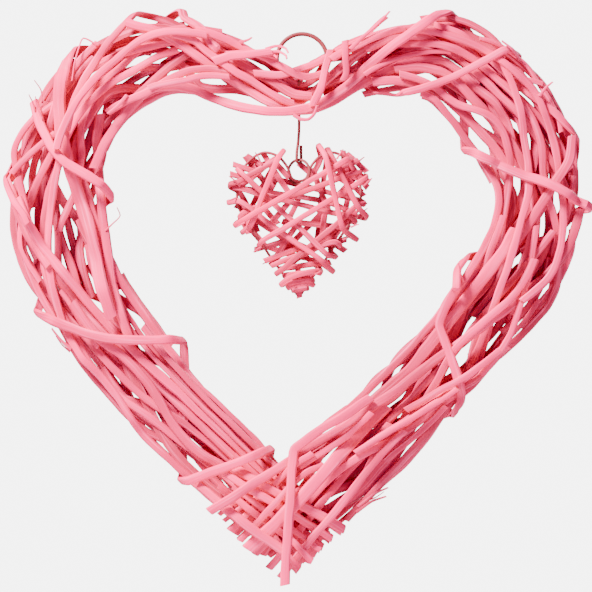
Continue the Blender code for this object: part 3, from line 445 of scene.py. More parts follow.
def needed_lift(new, old, push, own=False, over=False):
    """How far each new stretch must move along its push to clear the boxes already laid, or its own.

    A stretch marked over doesn't pass below any of them either.
    """
    lift = np.zeros(len(new[0]))
    over = np.broadcast_to(over, lift.shape)
    if not len(old[0]):
        return lift
    reach_new = np.linalg.norm(new[2], axis=1)
    reach_old = np.linalg.norm(old[2], axis=1)
    apart = np.linalg.norm(new[0][:, None] - old[0][None], axis=2)
    near = apart < reach_new[:, None] + reach_old[None] + LAY_GAP + OVER_REACH * over[:, None]
    if own:
        near &= np.tri(*near.shape, k=-OWN_STRETCHES - 1, dtype=bool)
    i, j = np.nonzero(near)
    if not len(i):
        return lift
    crosses = np.cross(new[1][i][:, :, None], old[1][j][:, None]).reshape(-1, 9, 3)
    axes = np.concatenate([new[1][i], old[1][j], crosses], axis=1)
    size = np.linalg.norm(axes, axis=2)
    usable = size > LEAST_AXIS
    axes /= np.maximum(size, LEAST_AXIS)[:, :, None]
    reach = (np.abs(np.einsum("pak,pbk->pab", axes, new[1][i])) * new[2][i][:, None]).sum(axis=2)
    reach += (np.abs(np.einsum("pak,pbk->pab", axes, old[1][j])) * old[2][j][:, None]).sum(axis=2)
    offset = np.einsum("pak,pk->pa", axes, new[0][i] - old[0][j])
    rise = np.einsum("pak,pk->pa", axes, push[i])
    offset, rise = np.where(rise < 0, -offset, offset), np.abs(rise)
    beyond = np.where(over[i][:, None] & (rise > LEAST_RISE), offset, np.abs(offset))
    apart = ((beyond >= reach + LAY_GAP - 1e-9) & usable).any(axis=1)
    climb = (reach + LAY_GAP - offset) / np.maximum(rise, LEAST_RISE)
    climb = np.where(usable & (rise > LEAST_RISE), climb, np.inf)
    climb = np.where(apart, 0.0, climb.min(axis=1))
    np.maximum.at(lift, i, climb)
    return lift


def lay(base, face, push, size, laid, climb, winding=False, over=False):
    """Raises a split's places along their push until it clears everything laid before it."""
    height = np.zeros(len(base))
    spacing = np.linalg.norm(np.diff(base, axis=0), axis=1)
    middle_push = push[:-1] + push[1:]
    strength = np.linalg.norm(middle_push, axis=1)
    facing = face / np.linalg.norm(face, axis=1)[:, None]
    turning = (facing[1:] * facing[:-1]).sum(axis=1) < TURNING
    fall = spacing * climb * np.where(turning, TURN_CLIMB, 1.0)
    middle_push /= np.maximum(strength, 1e-6)[:, None]
    for _ in range(LAY_ROUNDS):
        points = base + push * height[:, None]
        stretches = boxes(sections(points, face, size), face)
        lift = needed_lift(stretches, laid, middle_push, over=over)
        if winding:
            lift = np.maximum(lift, needed_lift(stretches, stretches, middle_push, own=True))
        lift[strength < LEAST_PUSH] = 0.0
        if lift.max() < LIFT_STEP:
            break
        raised = np.zeros(len(height))
        raised[:-1] = lift
        raised[1:] = np.maximum(raised[1:], lift)
        height += raised
        for k in range(1, len(height)):
            height[k] = max(height[k], height[k - 1] - fall[k - 1])
        for k in range(len(height) - 2, -1, -1):
            height[k] = max(height[k], height[k + 1] - fall[k])
    return base + push * height[:, None]


def threaded_row(line):
    """The split that passes through the hanging ring, clear of the crook that hangs on the ring's wire."""
    rise = CROOK_RADIUS + HOOK_WIRE / 2 + THREAD_ROOM + SLIM_WIDTH / 2
    across = (RING_FOOT[2] + rise - line.place(THREAD_STATION, 0.0)[2]) / GRID
    return "threaded_split", SLIM, BACK, THREAD_START + [(THREAD_STATION, across, THROUGH)] + THREAD_END


def beside_gaps(station, across, half_width):
    """Moves a place aside from the gaps that stay open, and back to its own lane past them."""
    for gap_station, gap_across, half_length, half_gap in GAPS:
        away = abs(station - gap_station) - half_length
        if away >= GAP_EASE:
            continue
        clear = half_gap + half_width + GAP_MARGIN
        short = clear - abs(across - gap_across)
        if short > 0.0:
            share = min((GAP_EASE - away) / GAP_EASE, 1.0)
            across += math.copysign(short, across - gap_across) * share * share * (3 - 2 * share)
    return across


def back_row(count, line):
    """A split of the plain back: a long wave from side to side, set off from its neighbours."""
    start = BACK_MARGIN + (line.length - 2 * BACK_MARGIN - BACK_SPLIT_LENGTH) * count / (BACK_SPLITS - 1)
    half_width = WIDE_WIDTH / GRID / 2
    knots = []
    for station in np.linspace(start, start + BACK_SPLIT_LENGTH, round(BACK_SPLIT_LENGTH / BACK_STEP) + 1):
        swing = math.sin(BACK_PHASE * count + BACK_WAVE * (station - start) / BACK_SPLIT_LENGTH)
        across = BACK_SWING * line.reach(station) * swing
        knots.append((station, beside_gaps(station, across, half_width)))
    return f"back_split_{count + 1}", WIDE, BACK, knots


def wire_boxes(points, diameter):
    """A wire's stretches as oriented boxes, so that splits are laid over it."""
    points = np.asarray(points, dtype=float)
    along = np.gradient(points, axis=0)
    along /= np.linalg.norm(along, axis=1)[:, None]
    up = np.array([0.31, 0.27, 0.91])
    face, rings = [], []
    for place, direction in zip(points, along):
        up = up - up.dot(direction) * direction
        up /= np.linalg.norm(up)
        across = np.cross(direction, up)
        face.append(up)
        corners = ((-1, -1), (1, -1), (1, 1), (-1, 1))
        rings.append([place + (across * a + up * u) * diameter / 2 for a, u in corners])
    return boxes(np.array(rings), np.array(face))


def joined(first, second):
    """Two sets of boxes as one."""
    return tuple(np.concatenate(pair) for pair in zip(first, second))


def circle_points(middle, radius, count, turned=0.0):
    """Points round an upright circle, closed on itself, that faces front or is turned aside."""
    turns = np.linspace(0.0, 2 * math.pi, count + 1)
    level = radius * np.cos(turns)
    return np.stack([middle[0] + level * math.cos(turned), middle[1] - level * math.sin(turned),
                     middle[2] + radius * np.sin(turns)], axis=1)


def hook_points():
    """Hook wire: over the hanging ring's wire, straight down, and round the link's top in a long eye."""
    down = np.array([0.0, 0.0, -1.0])
    points = []
    for degrees in (215, 180, 135, 90, 45, 0, -40):
        turn = math.radians(degrees)
        points.append(RING_FOOT + CROOK_RADIUS * np.array([0.0, math.cos(turn), math.sin(turn)]))
    points.append(RING_FOOT + down * 3 * CROOK_RADIUS)
    lean = np.array([math.sin(EYE_TURN), math.cos(EYE_TURN), 0.0])
    points.append(LINK_TOP - down * (EYE_LENGTH + 4 * EYE_HALF_WIDTH))
    points.append(LINK_TOP - down * (EYE_LENGTH + EYE_HALF_WIDTH) - lean * EYE_HALF_WIDTH / 3)
    points.append(LINK_TOP - down * EYE_LENGTH / 2 - lean * EYE_HALF_WIDTH)
    for degrees in (180, 225, 270, 315, 360):
        turn = math.radians(degrees)
        points.append(LINK_TOP + EYE_HALF_WIDTH * (lean * math.cos(turn) - down * math.sin(turn)))
    points.append(LINK_TOP - down * EYE_LENGTH / 2 + lean * EYE_HALF_WIDTH)
    points.append(LINK_TOP - down * EYE_LENGTH + lean * (HOOK_WIRE + WIRE_GAP))
    return np.array(points)


class HeartWire:
    """The small heart's wire: hundredths of the way round to place, direction and outward normal."""

    def __init__(self):
        shares = HEART_HALF + [(-across, down) for across, down in HEART_HALF[-2:0:-1]]
        dip = HEART_HALF[0][1]
        keys = [(across * HEART_WIDTH / 2, (dip - down) * HEART_HEIGHT) for across, down in shares]
        curve = smooth_route(keys[-1:] + keys + keys[:2], HEART_SAMPLES)[HEART_SAMPLES:-HEART_SAMPLES]
        length = np.hypot(*np.diff(curve, axis=0).T)
        run = np.concatenate([[0.0], np.cumsum(length)])
        self.marks = run / run[-1] * 100.0
        before_dip = np.clip((100.0 - self.marks) / DIP_SPREAD, 0.0, 1.0)
        after_dip = np.clip(self.marks / DIP_SPREAD, 0.0, 1.0)
        depth = DIP_OFFSET * (np.sin(after_dip * math.pi) - np.sin(before_dip * math.pi))
        self.curve = np.stack([HEART_DIP[0] + curve[:, 0], depth, HEART_DIP[2] + curve[:, 1]], axis=1)

    def place(self, mark):
        return np.array([np.interp(mark, self.marks, self.curve[:, k]) for k in range(3)])

    def points(self):
        return np.array([self.place(mark) for mark in np.linspace(0.0, 100.0, HEART_WIRE_POINTS + 1)])

    def direction(self, mark):
        step = self.place(min(mark + 0.4, 100.0)) - self.place(max(mark - 0.4, 0.0))
        step[1] = 0.0
        return step / np.linalg.norm(step)


def winding_places(row, wire):
    """The base places of a winding: stretches across the heart and turns round its wire."""
    _, marks = row
    radius = (HEART_WIRE / 2 + WIRE_GAP + HEART_SPLIT_THICKNESS / 2) / math.cos(math.radians(30))
    side = BACK
    base, face = [], []
    places = [wire.place(mark) for mark in marks]
    for count, mark in enumerate(marks):
        here = places[count]
        if count in (0, len(marks) - 1):
            inward = places[1] - here if count == 0 else places[-2] - here
            ends = [here + inward * WINDING_TUCK + np.array([0.0, -side * radius, 0.0])]
            turns = [np.array([0.0, -side, 0.0])]
        else:
            ends, turns = [], []
            tangent = wire.direction(mark)
            outward = np.array([-tangent[2], 0.0, tangent[0]])
            incoming = here - places[count - 1]
            leaving = places[count + 1] - here
            slide = tangent.dot(incoming) / np.linalg.norm(incoming)
            slide += tangent.dot(leaving) / np.linalg.norm(leaving)
            for share in WINDING_TURN:
                turn = share * math.pi / 2
                normal = outward * math.cos(turn) + np.array([0.0, side * math.sin(turn), 0.0])
                turns.append(normal)
                ends.append(here + (normal + tangent * slide * share * WINDING_SLIDE) * radius)
            side = -side
        if base:
            gap = ends[0] - base[-1]
            between = max(1, round(np.linalg.norm(gap) / NODE_SPACING))
            for _ in range(1, between):
                base.append(base[-1] + gap / between)
                face.append(turns[0])
        base += ends
        face += turns
    return np.array(base), np.array(face)


def lay_wreath(line):
    """Every split of the wreath in laying order: name, size, places and face directions."""
    ring = circle_points(RING_MIDDLE, RING_RADIUS, RING_POINTS)
    laid = joined(wire_boxes(ring, RING_WIRE), wire_boxes(hook_points(), HOOK_WIRE))
    backs = [back_row(count, line) for count in range(BACK_SPLITS)]
    rows = [threaded_row(line)] + backs + FRONT_SPLITS + BINDERS
    splits = []
    for row in rows:
        base, face, push = pick_places(*places_along(row, line))
        over = base[:-1, 2] < TIP_LEVEL if row[0] in OVERLYING else False
        points = lay(base, face, push, row[1], laid, CLIMB, over=over)
        laid = joined(laid, boxes(sections(points, face, row[1]), face))
        splits.append((row[0], row[1], points, face))
    return splits


def lay_windings(wire):
    """Every winding of the small heart in laying order."""
    link = circle_points(LINK_MIDDLE, LINK_RADIUS, LINK_POINTS, LINK_TURN)
    laid = joined(wire_boxes(link, LINK_WIRE), wire_boxes(hook_points(), HOOK_WIRE))
    laid = joined(laid, wire_boxes(wire.points(), HEART_WIRE))
    size = (HEART_SPLIT_WIDTH, HEART_SPLIT_THICKNESS)
    splits = []
    for row in WINDINGS:
        base, face = winding_places(row, wire)
        points = lay(base, face, face, size, laid, WINDING_CLIMB, winding=True)
        laid = joined(laid, boxes(sections(points, face, size), face))
        splits.append((row[0], size, points, face))
    return splits


# Splits too fine or too many for the frame, all on the front: name, size, places, and how far out
# from the middle of the bundle each one aims to lie. The ends of those named fill are sunk into it.
NARROW = (0.0045, 0.0020)
FINE = (0.0034, 0.0017)
FILL_SPLITS = [
    ("left_arm_deep", FINE, [(30, -29), (100, -30), (200, -28), (290, -27), (370, -31),
        (430, -20)], .002),
    ("left_arm_inner_fine", FINE, [(30, -24), (100, -25), (200, -24), (290, -22), (370, -26)], .006),
    ("right_arm_slant_low", PLAIN, [(1262, 42), (1305, 31), (1345, 24), (1400, 11), (1440, 2)], .006),
    ("left_tip_end_fine", NARROW, [(3, -6), (28, -3), (55, 2), (80, 6), (110, 10)], .014),
    ("left_tip_end_low", NARROW, [(1, 7), (28, 7), (50, 10), (75, 14), (105, 18)], .014),
    ("left_tip_end_stub", NARROW, [(4, 22), (22, 20), (45, 17)], .012),
    ("right_tip_stub_outer", FINE, [(1520, -30), (1550, -38), (1581, -42)], .006),
    ("right_tip_stub_edge", FINE, [(1520, -38), (1550, -46), (1580, -50)], .004),
    ("left_lobe_low_fine", FINE, [(525, 3), (575, -5), (620, -9), (665, 0)], .006),
    ("left_lobe_rising_side", NARROW, [(430, 28), (468, 43, EDGE), (500, 35), (545, 19)], .006),
    ("left_lobe_hooked", NARROW, [(472, 46), (497, 26), (515, 12)], .008),
    ("left_lobe_folded", NARROW, [(470, 40), (490, 47), (505, 45), (520, 38), (540, 24)], .006),
    ("dip_outer_wave", PLAIN, [(680, 20), (725, 21), (770, 20), (800, 14), (830, 6)], .008),
    ("right_arm_slant_high", NARROW, [(1265, 40), (1305, 31), (1345, 25), (1400, 11), (1440, 2)], .010),
    ("left_side_wavy", FINE, [(380, 32), (412, 40), (435, 36), (455, 36), (470, 38)], .006),
    ("dip_low_wave", PLAIN, [(660, 15), (680, 10), (700, 0), (750, -6), (790, -13)], .010),
    ("left_lobe_low_curl", NARROW, [(620, -33), (650, -34), (675, -31), (695, -24), (712, -17),
        (725, -11)], .008),
    ("dip_frayed_rise", NARROW, [(712, 8), (730, 18), (745, 24), (760, 27)], .008),
    ("right_rising_wide", PLAIN, [(838, 15), (870, 19), (908, 26)], .008),
    ("right_rising_cross", NARROW, [(838, -9), (845, -4), (850, 10), (855, 26)], .010),
    ("right_outer_spike", FINE, [(862, 20), (875, 26), (885, 33), (894, 40)], .006),
    ("right_low_fine", FINE, [(862, -12), (900, -3), (950, 8)], .008),
    ("right_lobe_frayed", FINE, [(1000, 24), (1015, 34), (1030, 46)], .006),
    ("right_lobe_wavy", FINE, [(965, 34), (975, 39), (990, 44), (1010, 46), (1030, 43), (1055, 41),
        (1070, 36)], .006),
    ("right_side_rising", NARROW, [(1150, 3), (1175, 9), (1190, 16), (1210, 22), (1240, 33), (1260, 38),
        (1300, 40)], .008),
    ("right_arm_slant_fine", FINE, [(1325, 30), (1345, 26), (1365, 20), (1400, 11), (1440, 1)], .012),
    ("right_arm_slant_inner", NARROW, [(1270, 38), (1305, 30), (1340, 18), (1375, 8)], .008),
    ("right_arm_outer_short", NARROW, [(1258, 42), (1300, 40), (1325, 33)], .008),
    ("right_arm_cross_short", NARROW, [(1252, 14), (1290, 30), (1310, 36)], .004),
    ("right_arm_outer_low", NARROW, [(1345, 34), (1375, 33), (1425, 29)], .006),
    ("right_arm_inner_end", NARROW, [(1400, -15), (1440, -17), (1490, -28)], .012),
    ("left_arm_side_wave", FINE, [(300, 15), (345, 14), (365, 17)], .006),
    ("left_arm_side_lane", NARROW, [(60, -24), (180, -27), (290, -22)], .004),
    ("left_arm_inner_lane", NARROW, [(60, -33), (180, -32), (290, -33)], .006),
    ("left_arm_parallel", PLAIN, [(390, 18), (425, 27), (450, 32), (470, 38)], .010),
    ("left_lobe_bend", PLAIN, [(500, 5), (560, 5), (600, 8), (645, 16), (690, 17)], .008),
    ("tip_stub_high", NARROW, [(1470, -12), (1500, -20), (1583, -17)], .014),
    ("tip_stub_low", NARROW, [(1470, -28), (1500, -33), (1583, -30)], .010),
    ("left_tip_stub_outer", PLAIN, [(3, 25), (60, 22), (120, 20)], .004),
    ("left_tip_stub_middle", NARROW, [(6, -4), (60, -2), (130, 0)], .002),
    ("left_tip_stub_inner", NARROW, [(8, -15), (60, -14), (130, -12)], .002),
    ("left_side_outer_bow", PLAIN, [(350, 30), (385, 42), (420, 44), (455, 41), (482, 34)], .000),
    ("left_arm_outer_bow", PLAIN, [(190, 28), (215, 35), (260, 37), (305, 37), (345, 33)], -.002),
    ("right_tip_outer_bow", FINE, [(1380, 38), (1420, 42), (1470, 43), (1505, 41)], .000),
    ("left_side_inner_fill", WIDE, [(345, -6), (370, -10), (395, -14), (412, -20)], -.003),
    ("left_side_middle_fill", PLAIN, [(350, 0), (380, 0), (400, 0), (422, 2)], -.004),
    ("right_arm_gap_edge", PLAIN, [(1172, 34), (1186, 36), (1196, 29), (1215, 27), (1235, 28)], -.002),
    ("left_arm_edge_fine", FINE, [(92, -35), (120, -37), (150, -38), (190, -37), (225, -34)], .000),
    ("right_lobe_outer_bow", PLAIN, [(922, 36), (945, 42), (965, 43), (990, 39)], .000),
    ("left_arm_gap_edge", PLAIN, [(216, 20), (236, 20), (244, 27), (262, 27), (282, 24)], -.003),
    ("right_side_outer_bow", PLAIN, [(985, 40), (1010, 45), (1035, 46), (1062, 43)], -.001),
    ("right_side_gap_edge", PLAIN, [(1112, 12), (1135, 14), (1150, 18), (1172, 17)], -.003),
    ("right_arm_outer_bow", PLAIN, [(1358, 39), (1385, 44), (1420, 45), (1462, 43)], -.002),
    ("left_lobe_outer_bow", PLAIN, [(512, 35), (530, 39), (553, 39), (577, 35)], -.002),
    ("left_lobe_inner_bow", FINE, [(588, -36), (620, -37), (660, -38), (700, -37), (725, -36)], -.001),
    ("left_lobe_gap_edge", PLAIN, [(493, -20), (520, -20), (547, -17)], -.003),
    ("left_side_high_bow", PLAIN, [(478, 34), (495, 39), (515, 39), (537, 35)], -.002),
    ("right_arm_high_bow", FINE, [(1208, 40), (1235, 41), (1262, 38)], -.001),
    ("right_arm_mid_bow", PLAIN, [(1260, 37), (1285, 41), (1310, 41), (1337, 37)], -.003),
    ("right_side_low_bow", PLAIN, [(1143, 40), (1165, 46), (1190, 46), (1217, 43)], -.003),
    ("right_lobe_inner_bow", PLAIN, [(928, -39), (955, -42), (985, -44), (1017, -44)], -.001),
    ("left_lobe_inner_edge", FINE, [(503, -37), (540, -40), (575, -40), (602, -37)], -.001),
    ("left_side_inner_edge", FINE, [(368, -41), (400, -44), (440, -43)], -.001),
    ("left_arm_inner_edge", FINE, [(254, -43), (300, -45), (352, -45)], -.001),
    ("right_side_inner_edge", FINE, [(1033, -47), (1065, -49), (1097, -45)], -.001),
    ("right_tip_inner_edge", FINE, [(1413, -35), (1440, -39), (1472, -39)], .000),
    ("left_lobe_edge_fine", NARROW, [(515, -38), (580, -41), (640, -41), (715, -37)], -.004),
    ("right_side_edge_bow", PLAIN, [(1172, 28), (1200, 35), (1225, 36), (1255, 30)], -.004),
    ("left_side_gap_fill", PLAIN, [(445, 24), (480, 28), (510, 23)], -.004),
    ("left_side_low_fill", PLAIN, [(380, -9), (412, -9), (445, -8)], -.006),
    ("left_lobe_low_fill", PLAIN, [(570, -15), (612, -15), (655, -14)], -.006),
    ("right_arm_high_fill", PLAIN, [(1222, 23), (1258, 24), (1292, 21)], -.006),
    ("right_tip_outer_fill", NARROW, [(1440, 35), (1480, 37), (1515, 35)], -.002),
    ("right_tip_middle_fill", PLAIN, [(1415, 17), (1450, 17), (1490, 15)], -.006),
    ("right_dip_low_fill", NARROW, [(855, -28), (890, -31), (930, -29)], -.004),
    ("left_side_far_bow", FINE, [(385, 43), (425, 47), (468, 42)], -.002),
]
# Plain filling splits: steps outward, how far out it aims to lie, first and last station, and size
FILL_LANES = [
    (-29, .002, 10, 420, WIDE), (-24, -.002, 30, 470, NARROW), (-14, .004, 5, 380, WIDE),
    (-5, -.001, 20, 420, PLAIN), (5, .003, 5, 350, WIDE), (14, -.002, 20, 430, PLAIN),
    (23, .003, 5, 330, WIDE), (31, -.001, 40, 400, PLAIN), (-20, -.006, 5, 400, WIDE),
    (0, -.006, 10, 380, WIDE), (18, -.006, 10, 390, WIDE), (29, .000, 350, 590, NARROW),
    (27, .004, 360, 600, PLAIN), (20, -.003, 380, 720, NARROW), (10, .003, 340, 690, PLAIN),
    (0, -.003, 400, 760, NARROW), (-10, .002, 420, 730, PLAIN), (-20, -.003, 430, 680, NARROW),
    (-30, .003, 400, 700, PLAIN), (-32, -.002, 430, 620, NARROW), (23, -.007, 400, 670, WIDE),
    (4, -.008, 420, 780, WIDE), (-26, -.007, 420, 700, WIDE), (18, .002, 690, 1000, NARROW),
    (8, -.003, 700, 1020, PLAIN), (-2, .003, 690, 980, NARROW), (-12, -.002, 720, 1040, PLAIN),
    (14, -.006, 720, 1000, PLAIN), (-6, -.006, 700, 1020, PLAIN), (36, .000, 930, 1240, NARROW),
    (29, .004, 915, 1220, PLAIN), (21, -.003, 860, 1250, NARROW), (11, .003, 900, 1270, PLAIN),
    (1, -.003, 880, 1260, NARROW), (-9, .002, 880, 1240, PLAIN), (-19, -.003, 860, 1250, NARROW),
    (-25, .002, 900, 1240, PLAIN), (-32, -.002, 960, 1170, NARROW), (27, -.007, 900, 1250, WIDE),
    (3, -.008, 880, 1260, WIDE), (-21, -.007, 900, 1240, WIDE), (-27, .002, 1170, 1570, NARROW),
    (-25, -.002, 1150, 1540, PLAIN), (-15, .004, 1200, 1578, NARROW), (-6, -.001, 1170, 1560, PLAIN),
    (4, .003, 1220, 1578, NARROW), (13, -.002, 1180, 1560, PLAIN), (22, .003, 1230, 1575, NARROW),
    (31, -.001, 1170, 1500, PLAIN), (-18, -.006, 1180, 1570, WIDE), (0, -.006, 1190, 1575, WIDE),
    (17, -.006, 1180, 1570, WIDE), (-8, -.009, 880, 1260, PLAIN),
    (13, -.010, 870, 1270, PLAIN), (-29, -.006, 930, 1200, PLAIN), (33, -.006, 1000, 1220, PLAIN),
    (10, -.010, 1180, 1570, PLAIN), (-9, -.010, 1180, 1560, PLAIN), (27, -.007, 1200, 1500, PLAIN),
    (13, -.010, 400, 720, PLAIN), (-13, -.009, 400, 740, PLAIN), (33, -.005, 400, 560, PLAIN),
    (10, -.009, 30, 400, PLAIN), (-11, -.009, 20, 400, PLAIN),
]
LANE_STEP = 40.0
LANE_SWING = 7.0                # grid steps a filling split wanders to each side of its lane
LANE_WAVE = 165.0
LANE_PHASE = 1.9                # radians from one lane to the next

# Peeled ends and fibres that stand off the splits: width and thickness, how much narrower they
# end, how far the end stands off, and places in grid steps across and down
HAIR = (0.0013, 0.0006)
SLIVER = (0.0025, 0.0009)
PEELED = [
    ("ring_side_peel", (0.0058, 0.0015), 0.1, 0.0015, [(214, 63), (230, 58), (250, 56), (272, 53)]),
    ("ring_side_prong_high", SLIVER, 0.5, 0.004, [(266, 51), (278, 47.5), (286, 50), (288.5, 55)]),
    ("ring_side_prong_middle", SLIVER, 0.5, 0.005, [(267, 54), (279, 53), (286, 57), (287, 61)]),
    ("ring_side_prong_low", SLIVER, 0.6, 0.003, [(266, 56), (273, 56), (277, 60)]),
    ("left_lobe_curl", HAIR, 0.4, 0.006, [(97, 46), (90, 41), (84, 39), (80, 48), (76, 62), (73, 82)]),
    ("left_side_hair_high", HAIR, 0.5, 0.004, [(42, 102), (41.5, 91), (35, 81)]),
    ("left_side_hair_middle", HAIR, 0.5, 0.003, [(36, 112), (34, 103), (31, 96)]),
    ("left_side_hair_low", HAIR, 0.5, 0.003, [(44, 120), (39, 108), (37.5, 98)]),
    ("left_arm_inner_hair", HAIR, 0.5, 0.005, [(106, 231), (113, 224), (121, 216), (118, 208)]),
    ("right_outer_peel", (0.0030, 0.0012), 0.6, 0.003, [(350, 51), (362, 39), (376, 27), (389, 14)]),
    ("right_outer_peel_fine", HAIR, 0.5, 0.002, [(360, 42), (372, 33), (381, 23)]),
    ("left_arm_outer_peel", SLIVER, 0.5, 0.002, [(72, 349), (62, 340), (53, 328)]),
    ("left_arm_outer_hair", HAIR, 0.5, 0.002, [(70, 352), (62, 345), (56, 336)]),
    ("right_tip_peel_high", SLIVER, 0.5, 0.002, [(358, 507), (374, 494), (388, 487)]),
    ("right_tip_peel_low", SLIVER, 0.5, 0.002, [(356, 512), (372, 501), (386, 496)]),
    ("right_tip_peel_fine", HAIR, 0.5, 0.002, [(362, 503), (376, 497), (384, 491)]),
    ("dip_hanging_bend", (0.0026, 0.0014), 0.3, 0.001,
        [(293, 116), (301, 120.5), (308, 120.5), (314, 115), (317, 107)]),
    ("right_lobe_outer_peel", SLIVER, 0.5, 0.002, [(538, 97), (545, 88), (551, 83)]),
    ("right_lobe_high_peel", SLIVER, 0.5, 0.002, [(520, 62), (511, 51), (500, 43)]),
    ("right_inner_hair", HAIR, 0.5, 0.003, [(463, 282), (459, 272), (457, 263)]),
    ("left_lobe_inner_peel", SLIVER, 0.4, 0.002, [(128, 96), (119, 107), (109, 115)]),
    ("dip_outer_peel", SLIVER, 0.5, 0.002, [(240, 44), (249, 41), (252, 39)]),
]
# Thin splits of the small heart inside its windings: side of the wire, and the two ends
HEART_INNER = [
    (FRONT, (230, 174), (254, 180)), (FRONT, (233, 164), (254, 172)), (BACK, (245, 156), (256, 172)),
    (BACK, (262, 152), (291, 196)), (FRONT, (237, 189), (276, 158)), (BACK, (322, 152), (364, 196)),
    (FRONT, (359, 160), (332, 171)), (BACK, (362, 192), (330, 172)), (FRONT, (357, 214), (329, 202)),
    (BACK, (350, 228), (282, 221)), (FRONT, (311, 178), (272, 222)), (BACK, (347, 239), (318, 247)),
    (FRONT, (264, 261), (302, 247)), (BACK, (270, 266), (296, 226)), (FRONT, (331, 262), (279, 269)),
    (BACK, (243, 228), (272, 196)), (FRONT, (249, 234), (249, 205)), (BACK, (312, 168), (330, 214)),
    (BACK, (343, 150), (349, 190)), (FRONT, (298, 266), (299.5, 298)), (BACK, (235, 205), (262, 214)),
    (BACK, (366, 205), (340, 192)), (FRONT, (325, 213), (322, 240)), (BACK, (254, 250), (290, 240)),
    (BACK, (346, 153), (367, 172)), (BACK, (338, 171), (370, 182)), (FRONT, (349, 163), (368, 188)),
    (BACK, (246, 224), (265, 246)), (BACK, (246, 155), (262, 165)), (FRONT, (276, 164), (289, 178)),
    (BACK, (299, 163), (316, 178)), (BACK, (330, 241), (346, 251)), (BACK, (260, 203), (278, 224)),
    (BACK, (254, 169), (270, 188)),
]
HEART_WRAPS = [((321, 271), (283, 276)), ((314, 280), (286, 283)), ((308, 287.5), (292, 290.5))]
HEART_TUFTS = [
    ((234, 181), (227, 175)), ((361, 160), (366, 156)), ((368, 182), (373, 177)), ((364, 211), (369, 207)),
    ((355, 226), (360, 224)), ((347, 238), (352, 236)), ((257, 250), (252, 253)), ((232, 200), (227, 202)),
    ((241, 226), (236, 229)), ((266, 262), (261, 265)), ((340, 154), (344, 148)), ((258, 158), (254, 151)),
    ((316, 274), (322, 271)), ((288, 283), (283, 286)),
]

# Laying the filling splits between the others
SHIFT_STEP = 0.0005
SHIFTS = np.arange(-0.024, 0.024 + SHIFT_STEP / 2, SHIFT_STEP)
FILL_SPACING = 0.004
WINDING_SLIMMER = 0.8           # the small heart's windings are slimmer than their plain solids
SINK_DEPTH = -0.011             # a plain filling split's ends go down to the back of the bundle
SINK_LENGTH = 0.030
OVERLAP_COST = 30.0             # per millimetre that two splits would share
OUTSIDE_COST = 3.0              # leaving the frame's box costs this many times as much
SLOPE_COST = 30.0
MOST_MOVE = 3                   # shift steps between one place and the next
EVENING_ROUNDS = 3
BOX_MARGIN = 0.002              # filling splits keep this far inside the frame's box, front and back
LATERAL_SHARE = 0.85

# Fine shapes of the splits and wires
CUT_STEP = 0.0024
STRAIGHTNESS = 0.75             # below 1, a split runs straighter between its places and bends more at them
# Cross-section of a split, round from its flat underside: shares of its half width and of its thickness
SPLIT_OUTLINE = [
    (-0.94, -0.50), (0.0, -0.47), (0.94, -0.50), (1.0, -0.40), (0.91, 0.08), (0.72, 0.40), (0.42, 0.49),
    (0.0, 0.52), (-0.42, 0.49), (-0.72, 0.40), (-0.91, 0.08), (-1.0, -0.40),
]
SHARP_EDGE = math.radians(28)
WIDTH_WAVER = 0.07
THICKNESS_WAVER = 0.10
DRIFT = 0.00025
TWIST = math.radians(5)
WAVER_LENGTH = 0.045
WAVER_SHARES = (1.0, 0.55, 0.3)
RIDGE_WANDER = 0.12             # how far the ridge wanders aside, as a share of the half width
THICKNESS_PACE, TWIST_PACE, RIDGE_PACE = 0.8, 1.5, 1.2      # their lengths, as shares of the width's
FIRST_SEED = 1000
UNDERSIDE = -0.4                # places of the outline below this share belong to the underside
UNDERSIDE_GRAIN = 0.5           # sets the underside's grain apart from the top's
WIRE_SIDES = 12
RING_FACETS, LINK_FACETS, HEART_FACETS = 120, 72, 320
HOOK_STEP = 0.0007
WIRE_EXTRA = 0.0003             # wires are this much thicker than their solids, to show on a pale ground
# Painted shade: paint is drawn deeper on splits further back, in place of the dark between splits that soft
# light doesn't give
PAINTED_SHADE_DEPTH = 0.015             # splits this far forward carry the lightest paint, those further back a darker painted shade
PAINTED_SHADE_SHARE = 0.6               # share of a split's tone that is painted shade; the rest of its tone is its own


def waver(rng, run, length):
    """A slow even wandering between about -1 and 1 along a run."""
    total = np.zeros(len(run))
    for share in WAVER_SHARES:
        total += share * np.sin(run / (length * share) * math.tau + rng.uniform(0.0, math.tau))
    return total / sum(WAVER_SHARES)


def eased_route(points, face, step):
    """Close-set places on the smooth curve through the laid ones, with their face directions."""
    length = np.linalg.norm(np.diff(points, axis=0), axis=1)
    slope = np.diff(points, axis=0) / length[:, None]
    middle = slope[:-1] * length[1:, None] + slope[1:] * length[:-1, None]
    middle /= (length[1:] + length[:-1])[:, None]
    tangent = np.concatenate([slope[:1], middle, slope[-1:]]) * STRAIGHTNESS
    places, faces = [], []
    for k, span in enumerate(length):
        for t in np.arange(0.0, 1.0, 1.0 / max(1, math.ceil(span / step))):
            rest = 1.0 - t
            places.append(points[k] * (1 + 2 * t) * rest * rest + points[k + 1] * t * t * (3 - 2 * t)
                          + span * (tangent[k] * t * rest * rest - tangent[k + 1] * t * t * rest))
            faces.append(face[k] * rest + face[k + 1] * t)
    return np.array(places + [points[-1]]), np.array(faces + [face[-1]])


def frames_along(places, face):
    """Direction along the split, outward from its rounded top, and across it, at each place."""
    along = np.gradient(places, axis=0)
    along /= np.linalg.norm(along, axis=1)[:, None]
    up = face - (face * along).sum(axis=1)[:, None] * along
    up /= np.linalg.norm(up, axis=1)[:, None]
    return along, up, np.cross(along, up)


